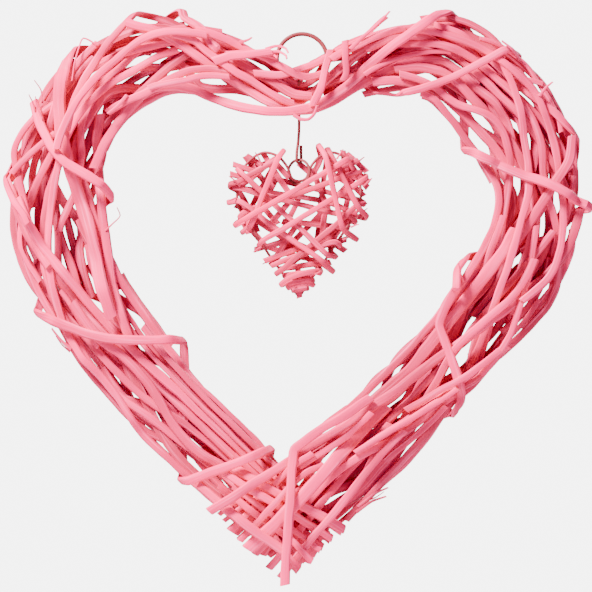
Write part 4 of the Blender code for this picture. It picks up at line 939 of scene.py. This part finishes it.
def piece_from_rings(name, rings, grain, tone, materials, closed=False):
    """A skin over cross-sections, with the places its grain follows and its own tone, painted shade
    included.
    """
    count, sides = rings.shape[:2]
    spans = count if closed else count - 1
    faces = []
    for ring in range(spans):
        here, there = ring * sides, (ring + 1) % count * sides
        for side in range(sides):
            after = (side + 1) % sides
            faces.append((here + side, here + after, there + after, there + side))
    if not closed:
        faces.append(tuple(range(sides))[::-1])
        faces.append(tuple(range((count - 1) * sides, count * sides)))
    mesh = bpy.data.meshes.new(name)
    mesh.from_pydata(rings.reshape(-1, 3).tolist(), [], faces)
    shape = bmesh.new()
    shape.from_mesh(mesh)
    bmesh.ops.recalc_face_normals(shape, faces=shape.faces)
    shape.to_mesh(mesh)
    shape.free()
    mesh.attributes.new("grain", "FLOAT_VECTOR", "POINT").data.foreach_set("vector", grain.reshape(-1))
    tones = np.repeat(np.broadcast_to(tone, count), sides).astype(float)
    mesh.attributes.new("tone", "FLOAT", "POINT").data.foreach_set("value", tones)
    for material in materials:
        mesh.materials.append(material)
    if not closed and len(materials) > 1:
        for face in mesh.polygons:
            if len(face.vertices) == sides:
                face.material_index = 1
    mesh.shade_smooth()
    mesh.set_sharp_from_angle(angle=SHARP_EDGE)
    piece = bpy.data.objects.new(name, mesh)
    bpy.context.scene.collection.objects.link(piece)
    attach(piece, "root")
    return piece


def split_piece(name, number, points, face, size, materials, taper=0.0):
    """A half-round split with the small unevenness of wood split by hand."""
    rng = np.random.default_rng(FIRST_SEED + number)
    places, faces = eased_route(points, face, CUT_STEP)
    along, up, across = frames_along(places, faces)
    run = np.concatenate([[0.0], np.cumsum(np.linalg.norm(np.diff(places, axis=0), axis=1))])
    width = size[0] / 2 * (1 - WIDTH_WAVER / 2 + WIDTH_WAVER * waver(rng, run, WAVER_LENGTH))
    thickening = waver(rng, run, WAVER_LENGTH * THICKNESS_PACE)
    thickness = size[1] * (1 - THICKNESS_WAVER / 2 + THICKNESS_WAVER * thickening)
    width = width * (1 - taper * run / run[-1])
    turn = TWIST * waver(rng, run, WAVER_LENGTH * TWIST_PACE)
    ridge = RIDGE_WANDER * waver(rng, run, WAVER_LENGTH * RIDGE_PACE)
    places = places + across * (DRIFT * waver(rng, run, WAVER_LENGTH))[:, None]
    side_way = across * np.cos(turn)[:, None] + up * np.sin(turn)[:, None]
    out_way = up * np.cos(turn)[:, None] - across * np.sin(turn)[:, None]
    rings = []
    for side, height in SPLIT_OUTLINE:
        lean = side + ridge * max(height, 0.0) * 2
        rings.append(places + side_way * (width * lean)[:, None] + out_way * (thickness * height)[:, None])
    rings = np.stack(rings, axis=1)
    slant = width[0] * 2 * END_SLANT * np.array([side for side, _ in SPLIT_OUTLINE])
    rings[0] += along[0] * slant[:, None]
    rings[-1] += along[-1] * slant[:, None]
    grain = np.zeros(rings.shape)
    grain[:, :, 0] = run[:, None]
    grain[:, :, 1] = np.array([side for side, _ in SPLIT_OUTLINE]) * size[0] / 2
    below = np.array([height < UNDERSIDE for _, height in SPLIT_OUTLINE])
    grain[:, :, 2] = number + UNDERSIDE_GRAIN * below
    # Painted shade: a split's tone is darker the further back it lies, mixed with its own random tone
    painted_light = np.clip(-places[:, 1] / PAINTED_SHADE_DEPTH, 0.0, 1.0)
    tone = PAINTED_SHADE_SHARE * painted_light + (1 - PAINTED_SHADE_SHARE) * rng.uniform(0.0, 1.0)
    piece = piece_from_rings(name, rings, grain, tone, materials)
    return piece, places, width, thickness


def wire_piece(name, points, diameter, closed, material):
    """A round wire with the slight unevenness of its paint."""
    points = np.asarray(points, dtype=float)
    if closed:
        along = np.roll(points, -1, axis=0) - np.roll(points, 1, axis=0)
    else:
        along = np.gradient(points, axis=0)
    along /= np.linalg.norm(along, axis=1)[:, None]
    up = np.array([0.31, 0.27, 0.91])
    rings = []
    turns = np.arange(WIRE_SIDES) * math.tau / WIRE_SIDES
    for place, direction in zip(points, along):
        up = up - up.dot(direction) * direction
        up /= np.linalg.norm(up)
        across = np.cross(direction, up)
        rings.append([place + (across * math.cos(turn) + up * math.sin(turn)) * diameter / 2
                      for turn in turns])
    rings = np.array(rings)
    grain = np.zeros(rings.shape)
    grain[:, :, 0] = (np.arange(len(points)) * 0.001)[:, None]
    grain[:, :, 1] = np.sin(turns) * diameter / 2
    piece = piece_from_rings(name, rings, grain, 0.5, [material], closed)
    return piece


class Pile:
    """What has been laid so far, as close-set places with their half widths and half thicknesses."""

    def __init__(self):
        self.places, self.half_width, self.half_thickness = np.zeros((0, 3)), np.zeros(0), np.zeros(0)

    def add(self, places, width, thickness):
        self.places = np.concatenate([self.places, places])
        self.half_width = np.concatenate([self.half_width, np.broadcast_to(width, len(places))])
        half = np.broadcast_to(thickness, len(places)) / 2
        self.half_thickness = np.concatenate([self.half_thickness, half])

    def front_at(self, x, z, room):
        """How far forward the pile reaches, seen from the front, or the nearest of its places."""
        apart = np.hypot(self.places[:, 0] - x, self.places[:, 2] - z)
        near = apart < np.maximum(self.half_width + room, apart.min() + room)
        return (self.places[near, 1] - self.half_thickness[near]).min()

    def overlap(self, base, push, size):
        """How much each place would share with the pile at each shift along its push."""
        shared = np.zeros((len(base), len(SHIFTS)))
        for row, (place, way) in enumerate(zip(base, push)):
            offset = self.places - place
            out = offset @ way
            aside = np.sqrt(np.maximum((offset ** 2).sum(axis=1) - out ** 2, 0.0))
            near = aside < (self.half_width + size[0] / 2) * LATERAL_SHARE
            block = self.half_thickness[near] + size[1] / 2 + LAY_GAP
            over = block[:, None] - np.abs(SHIFTS[None] - out[near][:, None])
            if len(over):
                shared[row] = np.maximum(over.max(axis=0), 0.0)
        return shared


def weave_in(row, line, pile, box_low, box_high, sunk_ends):
    """Finds the depths at which a filling split passes between those already laid."""
    name, size, knots, aim = row
    base, face, push, _ = places_along((name, size, FRONT, knots), line)
    run = np.concatenate([[0.0], np.cumsum(np.linalg.norm(np.diff(base, axis=0), axis=1))])
    marks = np.linspace(0.0, run[-1], max(3, round(run[-1] / FILL_SPACING)))
    chosen = np.unique(np.searchsorted(run, marks - 1e-9).clip(0, len(run) - 1))
    base, face, push = base[chosen], face[chosen], push[chosen]
    depth = base[:, 1][:, None] + push[:, 1][:, None] * SHIFTS[None]
    outside = np.maximum(box_low - depth, 0.0) + np.maximum(depth - box_high, 0.0)
    cost = OVERLAP_COST * 1000 * (pile.overlap(base, push, size) + OUTSIDE_COST * outside)
    marks = run[chosen]
    if sunk_ends:
        sunk = np.clip(np.minimum(marks, run[-1] - marks) / SINK_LENGTH, 0.0, 1.0)
        aim = SINK_DEPTH + (aim - SINK_DEPTH) * sunk[:, None]
    cost += np.abs(SHIFTS[None] - aim) * 1000
    moves = np.arange(-MOST_MOVE, MOST_MOVE + 1)
    slope = SLOPE_COST * (moves * SHIFT_STEP / FILL_SPACING) ** 2
    best = cost[0]
    origin = []
    for row_cost in cost[1:]:
        padded = np.pad(best, MOST_MOVE, constant_values=np.inf)
        options = np.stack([padded[k:k + len(SHIFTS)] + slope[k] for k in range(len(moves))])
        pick = options.argmin(axis=0)
        origin.append(np.arange(len(SHIFTS)) + moves[pick])
        best = options.min(axis=0) + row_cost
    at = int(best.argmin())
    path = [at]
    for back in reversed(origin):
        at = int(back[at])
        path.append(at)
    shift = SHIFTS[path[::-1]]
    for _ in range(EVENING_ROUNDS):
        shift[1:-1] = (shift[:-2] + 2 * shift[1:-1] + shift[2:]) / 4
    return base + push * shift[:, None], face


def lane_row(count, lane):
    """A plain filling split that wanders along its lane and keeps clear of the open gaps."""
    across, aim, start, end, size = lane
    half_width = size[0] / GRID / 2
    knots = []
    for station in np.linspace(start, end, round((end - start) / LANE_STEP) + 1):
        place = across + LANE_SWING * math.sin(station / LANE_WAVE * math.tau + LANE_PHASE * count)
        knots.append((station, beside_gaps(station, place, half_width)))
    return f"filling_split_{count + 1}", size, knots, aim


# Materials

def node_group(name, inputs, outputs):
    """An empty shader node group with its sockets, and its input and output nodes."""
    group = bpy.data.node_groups.new(name, "ShaderNodeTree")
    for socket, kind, value in inputs:
        made = group.interface.new_socket(name=socket, in_out="INPUT", socket_type=kind)
        if value is not None:
            made.default_value = value
    for socket, kind in outputs:
        group.interface.new_socket(name=socket, in_out="OUTPUT", socket_type=kind)
    return group, group.nodes.new("NodeGroupInput"), group.nodes.new("NodeGroupOutput")


# Masks of the grain: how its coordinates are drawn out along and across the split and from one split to the
# next, and the detail of the noise
GRAIN_MASKS = [
    ("Streak", (22.0, 700.0, 7.3), 3.0),
    ("Line", (70.0, 2600.0, 11.7), 4.0),
    ("Tone", (16.0, 60.0, 5.1), 2.0),
]
PATCH_SHARE, OWN_TONE_AND_SHADE_SHARE = 0.6, 0.5       # shares of the patches and of a split's own tone with its painted shade in its tone
LINE_SHARE = 0.5                # of the fine lines in the relief, beside the streaks
# Ramps, as places and grey values
TONE_STOPS = [(0.30, 0.0), (0.72, 1.0)]         # from thick paint and painted shade to plain
THIN_STOPS = [(0.52, 0.0), (0.74, 0.75)]        # and to paint worn thin, on the streaks
ROUGH_STOPS = [(0.3, 0.5), (0.75, 0.72)]
BUMP_STRENGTH = 0.55
PAINT_SPECULAR = 0.18


def ramp(nodes, links, value, stops):
    """A value led through a colour ramp with the given places and grey values."""
    node = nodes.new("ShaderNodeValToRGB")
    for stop, (place, grey) in zip(node.color_ramp.elements, stops):
        stop.position = place
        stop.color = (grey, grey, grey, 1.0)
    links.new(value, node.inputs["Fac"])
    return node.outputs["Color"]


def scaled(nodes, links, value, share, added=None):
    """A share of a value, with another value added where there is one."""
    node = nodes.new("ShaderNodeMath")
    node.operation = "MULTIPLY" if added is None else "MULTIPLY_ADD"
    node.inputs[1].default_value = share
    links.new(value, node.inputs[0])
    if added is not None:
        links.new(added, node.inputs[2])
    return node.outputs[0]


def blended(nodes, links, factor, first, second):
    """The first colour where the factor is 0 and the second where it is 1."""
    node = nodes.new("ShaderNodeMix")
    node.data_type = "RGBA"
    links.new(factor, node.inputs["Factor"])
    links.new(first, node.inputs["A"])
    links.new(second, node.inputs["B"])
    return node.outputs["Result"]


def wood_grain_group():
    """Fine lengthwise lines and broad streaks of split wood, and its tone, which carries the painted shade
    of splits further back.
    """
    group, _, end = node_group("wood grain", [], [(mask[0], "NodeSocketFloat") for mask in GRAIN_MASKS])
    nodes, links = group.nodes, group.links
    place = nodes.new("ShaderNodeAttribute")
    place.attribute_name = "grain"
    own = nodes.new("ShaderNodeAttribute")
    own.attribute_name = "tone"
    for output, stretch, detail in GRAIN_MASKS:
        drawn = nodes.new("ShaderNodeVectorMath")
        drawn.operation = "MULTIPLY"
        drawn.inputs[1].default_value = stretch
        links.new(place.outputs["Vector"], drawn.inputs[0])
        noise = nodes.new("ShaderNodeTexNoise")
        noise.inputs["Scale"].default_value = 1.0
        noise.inputs["Detail"].default_value = detail
        links.new(drawn.outputs[0], noise.inputs["Vector"])
        value = noise.outputs["Fac"]
        # The tone attribute holds each split's own tone and its painted shade
        if output == "Tone":
            own_tone_and_shade = scaled(nodes, links, own.outputs["Fac"], OWN_TONE_AND_SHADE_SHARE)
            value = scaled(nodes, links, value, PATCH_SHARE, own_tone_and_shade)
        links.new(value, end.inputs[output])
    return group


def brushed_paint_group(grain):
    """Paint brushed over wood: thick and deep in places and as painted shade on splits further back, thin
    along the grain's ridges.
    """
    group, start, end = node_group(
        "brushed paint",
        [("Paint", "NodeSocketColor", None), ("Thick Paint And Painted Shade", "NodeSocketColor", None),
         ("Thin Paint", "NodeSocketColor", None)],
        [("Color", "NodeSocketColor"), ("Roughness", "NodeSocketFloat"), ("Relief", "NodeSocketFloat")])
    nodes, links = group.nodes, group.links
    wood = nodes.new("ShaderNodeGroup")
    wood.node_tree = grain
    plain = ramp(nodes, links, wood.outputs["Tone"], TONE_STOPS)
    color = blended(nodes, links, plain, start.outputs["Thick Paint And Painted Shade"], start.outputs["Paint"])
    thin = ramp(nodes, links, wood.outputs["Streak"], THIN_STOPS)
    color = blended(nodes, links, thin, color, start.outputs["Thin Paint"])
    links.new(color, end.inputs["Color"])
    links.new(ramp(nodes, links, wood.outputs["Streak"], ROUGH_STOPS), end.inputs["Roughness"])
    relief = scaled(nodes, links, wood.outputs["Line"], LINE_SHARE, wood.outputs["Streak"])
    links.new(relief, end.inputs["Relief"])
    return group


def painted(name, group, paint, thick_and_shade, thin, relief_depth):
    """A painted surface with grain."""
    material = bpy.data.materials.new(name)
    material.use_nodes = True
    nodes, links = material.node_tree.nodes, material.node_tree.links
    shader = nodes["Principled BSDF"]
    coat = nodes.new("ShaderNodeGroup")
    coat.node_tree = group
    for socket, color in [("Paint", paint), ("Thick Paint And Painted Shade", thick_and_shade), ("Thin Paint", thin)]:
        coat.inputs[socket].default_value = (*color, 1.0)
    bump = nodes.new("ShaderNodeBump")
    bump.inputs["Strength"].default_value = BUMP_STRENGTH
    bump.inputs["Distance"].default_value = relief_depth
    links.new(coat.outputs["Color"], shader.inputs["Base Color"])
    links.new(coat.outputs["Roughness"], shader.inputs["Roughness"])
    links.new(coat.outputs["Relief"], bump.inputs["Height"])
    links.new(bump.outputs["Normal"], shader.inputs["Normal"])
    shader.inputs["Specular IOR Level"].default_value = PAINT_SPECULAR
    return material


grain_group = wood_grain_group()
paint_group = brushed_paint_group(grain_group)
SPLIT_RELIEF, WIRE_RELIEF = 0.0004, 0.0001
# The thick paint colours are also the painted shade of splits lying further back
wreath_paint = painted("wreath paint", paint_group, (0.97, 0.016, 0.150), (0.46, 0.012, 0.060),
                       (1.0, 0.10, 0.27), SPLIT_RELIEF)
heart_paint = painted("small heart paint", paint_group, (0.92, 0.015, 0.125), (0.42, 0.011, 0.052),
                      (0.98, 0.08, 0.22), SPLIT_RELIEF)
cut_wood = painted("cut end", paint_group, (0.92, 0.14, 0.18), (0.74, 0.06, 0.09),
                   (0.97, 0.30, 0.30), SPLIT_RELIEF)
wire_paint = painted("wire paint", paint_group, (0.21, 0.022, 0.030), (0.15, 0.014, 0.020),
                     (0.30, 0.05, 0.055), WIRE_RELIEF)
heart_wire_paint = painted("heart wire paint", paint_group, (0.32, 0.022, 0.045), (0.22, 0.014, 0.030),
                           (0.50, 0.09, 0.11), WIRE_RELIEF)


# Wires

def fine_circle(middle, radius, count, turned=0.0):
    return circle_points(middle, radius, count, turned)[:-1]


wire = HeartWire()
ring_places = fine_circle(RING_MIDDLE, RING_RADIUS, RING_FACETS)
hook_places, _ = eased_route(hook_points(), hook_points(), HOOK_STEP)
link_places = fine_circle(LINK_MIDDLE, LINK_RADIUS, LINK_FACETS, LINK_TURN)
heart_places = [wire.place(mark) for mark in np.linspace(0.0, 100.0, HEART_FACETS + 1)[:-1]]
for name, node, places, diameter, closed, material, slot in [
        ("hanging_ring_wire", "hanging_ring", ring_places, RING_WIRE + WIRE_EXTRA, True, wire_paint,
         "hanging_ring_wire"),
        ("pendant_hook_wire", "pendant_hook", hook_places, HOOK_WIRE + WIRE_EXTRA, False, wire_paint,
         "hook_wire"),
        ("link_ring_wire", "link_ring", link_places, LINK_WIRE + WIRE_EXTRA, True, wire_paint, "hook_wire"),
        ("small_heart_frame", "small_heart_wire", heart_places, HEART_WIRE, True, heart_wire_paint,
         "small_heart_wire")]:
    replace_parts(wire_piece(name, places, diameter, closed, material), node)

# Splits of the frame, each in place of its node
line = MiddleLine()
pile = Pile()
number = 0
for name, size, points, face in lay_wreath(line):
    slot = "binder_split" if name.endswith("binder") else "wreath_split"
    piece, places, width, thickness = split_piece(name + "_wood", number, points, face, size,
                                                  [wreath_paint, cut_wood])
    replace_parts(piece, name)
    pile.add(places, width, thickness)
    number += 1
heart_pile = Pile()
for name, size, points, face in lay_windings(wire):
    size = (size[0] * WINDING_SLIMMER, size[1])
    piece, places, width, thickness = split_piece(name + "_wood", number, points, face, size,
                                                  [heart_paint, cut_wood])
    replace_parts(piece, name)
    heart_pile.add(places, width, thickness)
    number += 1

# Filling splits
lowest, highest = frame_box[0][1] + BOX_MARGIN, frame_box[1][1] - BOX_MARGIN
lanes = [lane_row(count, lane) for count, lane in enumerate(FILL_LANES)]
for row in FILL_SPLITS + lanes:
    sunk_ends = row in lanes or row[0].endswith("fill")
    points, face = weave_in(row, line, pile, lowest, highest, sunk_ends)
    piece, places, width, thickness = split_piece(row[0], number, points, face, row[1],
                                                  [wreath_paint, cut_wood])
    pile.add(places, width, thickness)
    number += 1

# Peeled ends and fibres
FORWARD = np.array([0.0, -1.0, 0.0])


def grid_place(across, down, depth):
    return np.array([(across - ORIGIN_ACROSS) * GRID, depth, (ORIGIN_DOWN - down) * GRID])


def peeled_piece(name, size, taper, stand_off, places, pile, material):
    """A strip that leaves the split below it and stands off more and more towards its end."""
    reach = pile.front_at(*grid_place(*places[0], 0.0)[[0, 2]], size[0] / 2)
    points = []
    for count, (across, down) in enumerate(places):
        place = grid_place(across, down, 0.0)
        share = count / (len(places) - 1)
        apart = np.hypot(pile.places[:, 0] - place[0], pile.places[:, 2] - place[2])
        if apart.min() < pile.half_width[apart.argmin()]:
            reach = min(reach, pile.front_at(place[0], place[2], size[0] / 2))
        place[1] = reach - size[1] / 2 - stand_off * share * share
        points.append(place)
    split_piece(name, number, np.array(points), np.tile(FORWARD, (len(points), 1)), size,
                [material, cut_wood], taper)


for name, size, taper, stand_off, places in PEELED:
    peeled_piece(name, size, taper, stand_off, places, pile, wreath_paint)
    number += 1

# Small heart: thin splits inside its windings, the last turns at its tip, and tufts
INNER_SIZE = (0.0040, 0.0015)
INNER_DEPTH = HEART_WIRE / 2 + WIRE_GAP + INNER_SIZE[1] / 2
WRAP_SIZE = (0.0042, 0.0016)
WRAP_DEPTH = INNER_DEPTH + 0.0024
WRAP_TURN = 0.12                # share of its length over which a turn rises at each end
WRAP_BOW = 1.1
WRAP_LEAN = 0.7
TUFT_SIZE = (0.0014, 0.0007)
TUFT_TAPER, TUFT_STAND_OFF = 0.5, 0.0012
TUFT_ROOT = 1.3                 # a tuft begins this share of its length inside the heart's edge
TUFT_REACH = 0.7
TUFT_BEND = np.array([0.5, -0.5])
for count, (side, start, end) in enumerate(HEART_INNER):
    depth = -side * INNER_DEPTH
    points = np.linspace(grid_place(*start, depth), grid_place(*end, depth), 4)
    split_piece(f"heart_inner_{count + 1}", number, points, np.tile(side * FORWARD, (4, 1)), INNER_SIZE,
                [heart_paint, cut_wood])
    number += 1
for count, (start, end) in enumerate(HEART_WRAPS):
    bow = np.array([0.0, -WRAP_DEPTH, 0.0])
    first, last = grid_place(*start, 0.0), grid_place(*end, 0.0)
    span = last - first
    points = np.array([first, first + span * WRAP_TURN + bow, first + span / 2 + bow * WRAP_BOW,
                       last - span * WRAP_TURN + bow, last])
    side_way = -span / np.linalg.norm(span)
    lean = side_way * WRAP_LEAN
    faces = np.array([side_way, FORWARD + lean, FORWARD, FORWARD - lean, -side_way])
    split_piece(f"heart_wrap_{count + 1}", number, points, faces, WRAP_SIZE, [heart_paint, cut_wood])
    number += 1
for count, (start, end) in enumerate(HEART_TUFTS):
    start = np.array(start, dtype=float)
    end = start + (np.array(end) - start) * TUFT_REACH
    root = start + (start - end) * TUFT_ROOT
    peeled_piece(f"heart_tuft_{count + 1}", TUFT_SIZE, TUFT_TAPER, TUFT_STAND_OFF,
                 [root, start + TUFT_BEND, end], heart_pile, heart_paint)
    number += 1


# Stage, light and camera
IMAGE_SIDE = 592
IMAGE_MIDDLE = IMAGE_SIDE / 2
CAMERA_AWAY = 1.8
SENSOR = 36.0
FLOOR_RADIUS, FLOOR_LEVEL = 2.6, -0.75
FLOOR_SIDES = 96
FLOOR_COLOR = (0.86, 0.85, 0.84, 1.0)
FLOOR_ROUGHNESS = 0.8
SEEN_COLOR = (1.0, 1.0, 1.0, 1.0)
SEEN_STRENGTH = 6.0             # what the camera sees behind the piece
LIT_COLOR = (0.90, 0.97, 1.0, 1.0)
LIT_STRENGTH = 0.20             # what lights the piece from all round
LAMP_COLOR = (1.0, 0.98, 0.98)
LAMPS = [
    ("upper left softbox", (-0.80, -0.70, 0.95), 0.38, 155.0),
    ("rear softbox", (1.2, 1.2, 0.8), 0.8, 30.0),
    ("right softbox", (1.0, -1.2, 0.0), 0.8, 6.0),
]


def soft_light(name, place, aim, size, watts):
    lamp = bpy.data.lights.new(name, "AREA")
    lamp.shape = "DISK"
    lamp.size = size
    lamp.energy = watts
    lamp.color = LAMP_COLOR
    item = bpy.data.objects.new(name, lamp)
    item.location = place
    way = np.array(aim) - np.array(place)
    item.rotation_euler = (math.atan2(math.hypot(way[0], way[1]), -way[2]), 0.0, math.atan2(way[1], way[0])
                           - math.pi / 2)
    bpy.context.scene.collection.objects.link(item)


def pale_floor():
    mesh = bpy.data.meshes.new("pale_floor")
    shape = bmesh.new()
    bmesh.ops.create_circle(shape, cap_ends=True, radius=FLOOR_RADIUS, segments=FLOOR_SIDES)
    shape.to_mesh(mesh)
    shape.free()
    floor = bpy.data.objects.new("pale_floor", mesh)
    floor.location = (0.0, 0.0, FLOOR_LEVEL)
    material = bpy.data.materials.new("pale floor")
    material.use_nodes = True
    shader = material.node_tree.nodes["Principled BSDF"]
    shader.inputs["Base Color"].default_value = FLOOR_COLOR
    shader.inputs["Roughness"].default_value = FLOOR_ROUGHNESS
    mesh.materials.append(material)
    bpy.context.scene.collection.objects.link(floor)


def white_room():
    """A white surround that the camera sees as plain white and that lights the piece softly."""
    world = bpy.data.worlds.new("white room")
    world.use_nodes = True
    nodes, links = world.node_tree.nodes, world.node_tree.links
    seen = nodes["Background"]
    seen.inputs["Color"].default_value = SEEN_COLOR
    seen.inputs["Strength"].default_value = SEEN_STRENGTH
    lit = nodes.new("ShaderNodeBackground")
    lit.inputs["Color"].default_value = LIT_COLOR
    lit.inputs["Strength"].default_value = LIT_STRENGTH
    path = nodes.new("ShaderNodeLightPath")
    mix = nodes.new("ShaderNodeMixShader")
    links.new(path.outputs["Is Camera Ray"], mix.inputs["Fac"])
    links.new(lit.outputs[0], mix.inputs[1])
    links.new(seen.outputs[0], mix.inputs[2])
    links.new(mix.outputs[0], nodes["World Output"].inputs["Surface"])
    bpy.context.scene.world = world


pale_floor()
white_room()
middle = np.array([(IMAGE_MIDDLE - ORIGIN_ACROSS) * GRID, 0.0, (ORIGIN_DOWN - IMAGE_MIDDLE) * GRID])
for name, place, size, watts in LAMPS:
    soft_light(name, place, middle, size, watts)

camera = bpy.data.cameras.new("camera")
camera.sensor_width = SENSOR
camera.lens = SENSOR * CAMERA_AWAY / (IMAGE_SIDE * GRID)
viewer = bpy.data.objects.new("camera", camera)
viewer.location = middle + np.array([0.0, -CAMERA_AWAY, 0.0])
viewer.rotation_euler = (math.pi / 2, 0.0, 0.0)
bpy.context.scene.collection.objects.link(viewer)
bpy.context.scene.camera = viewer
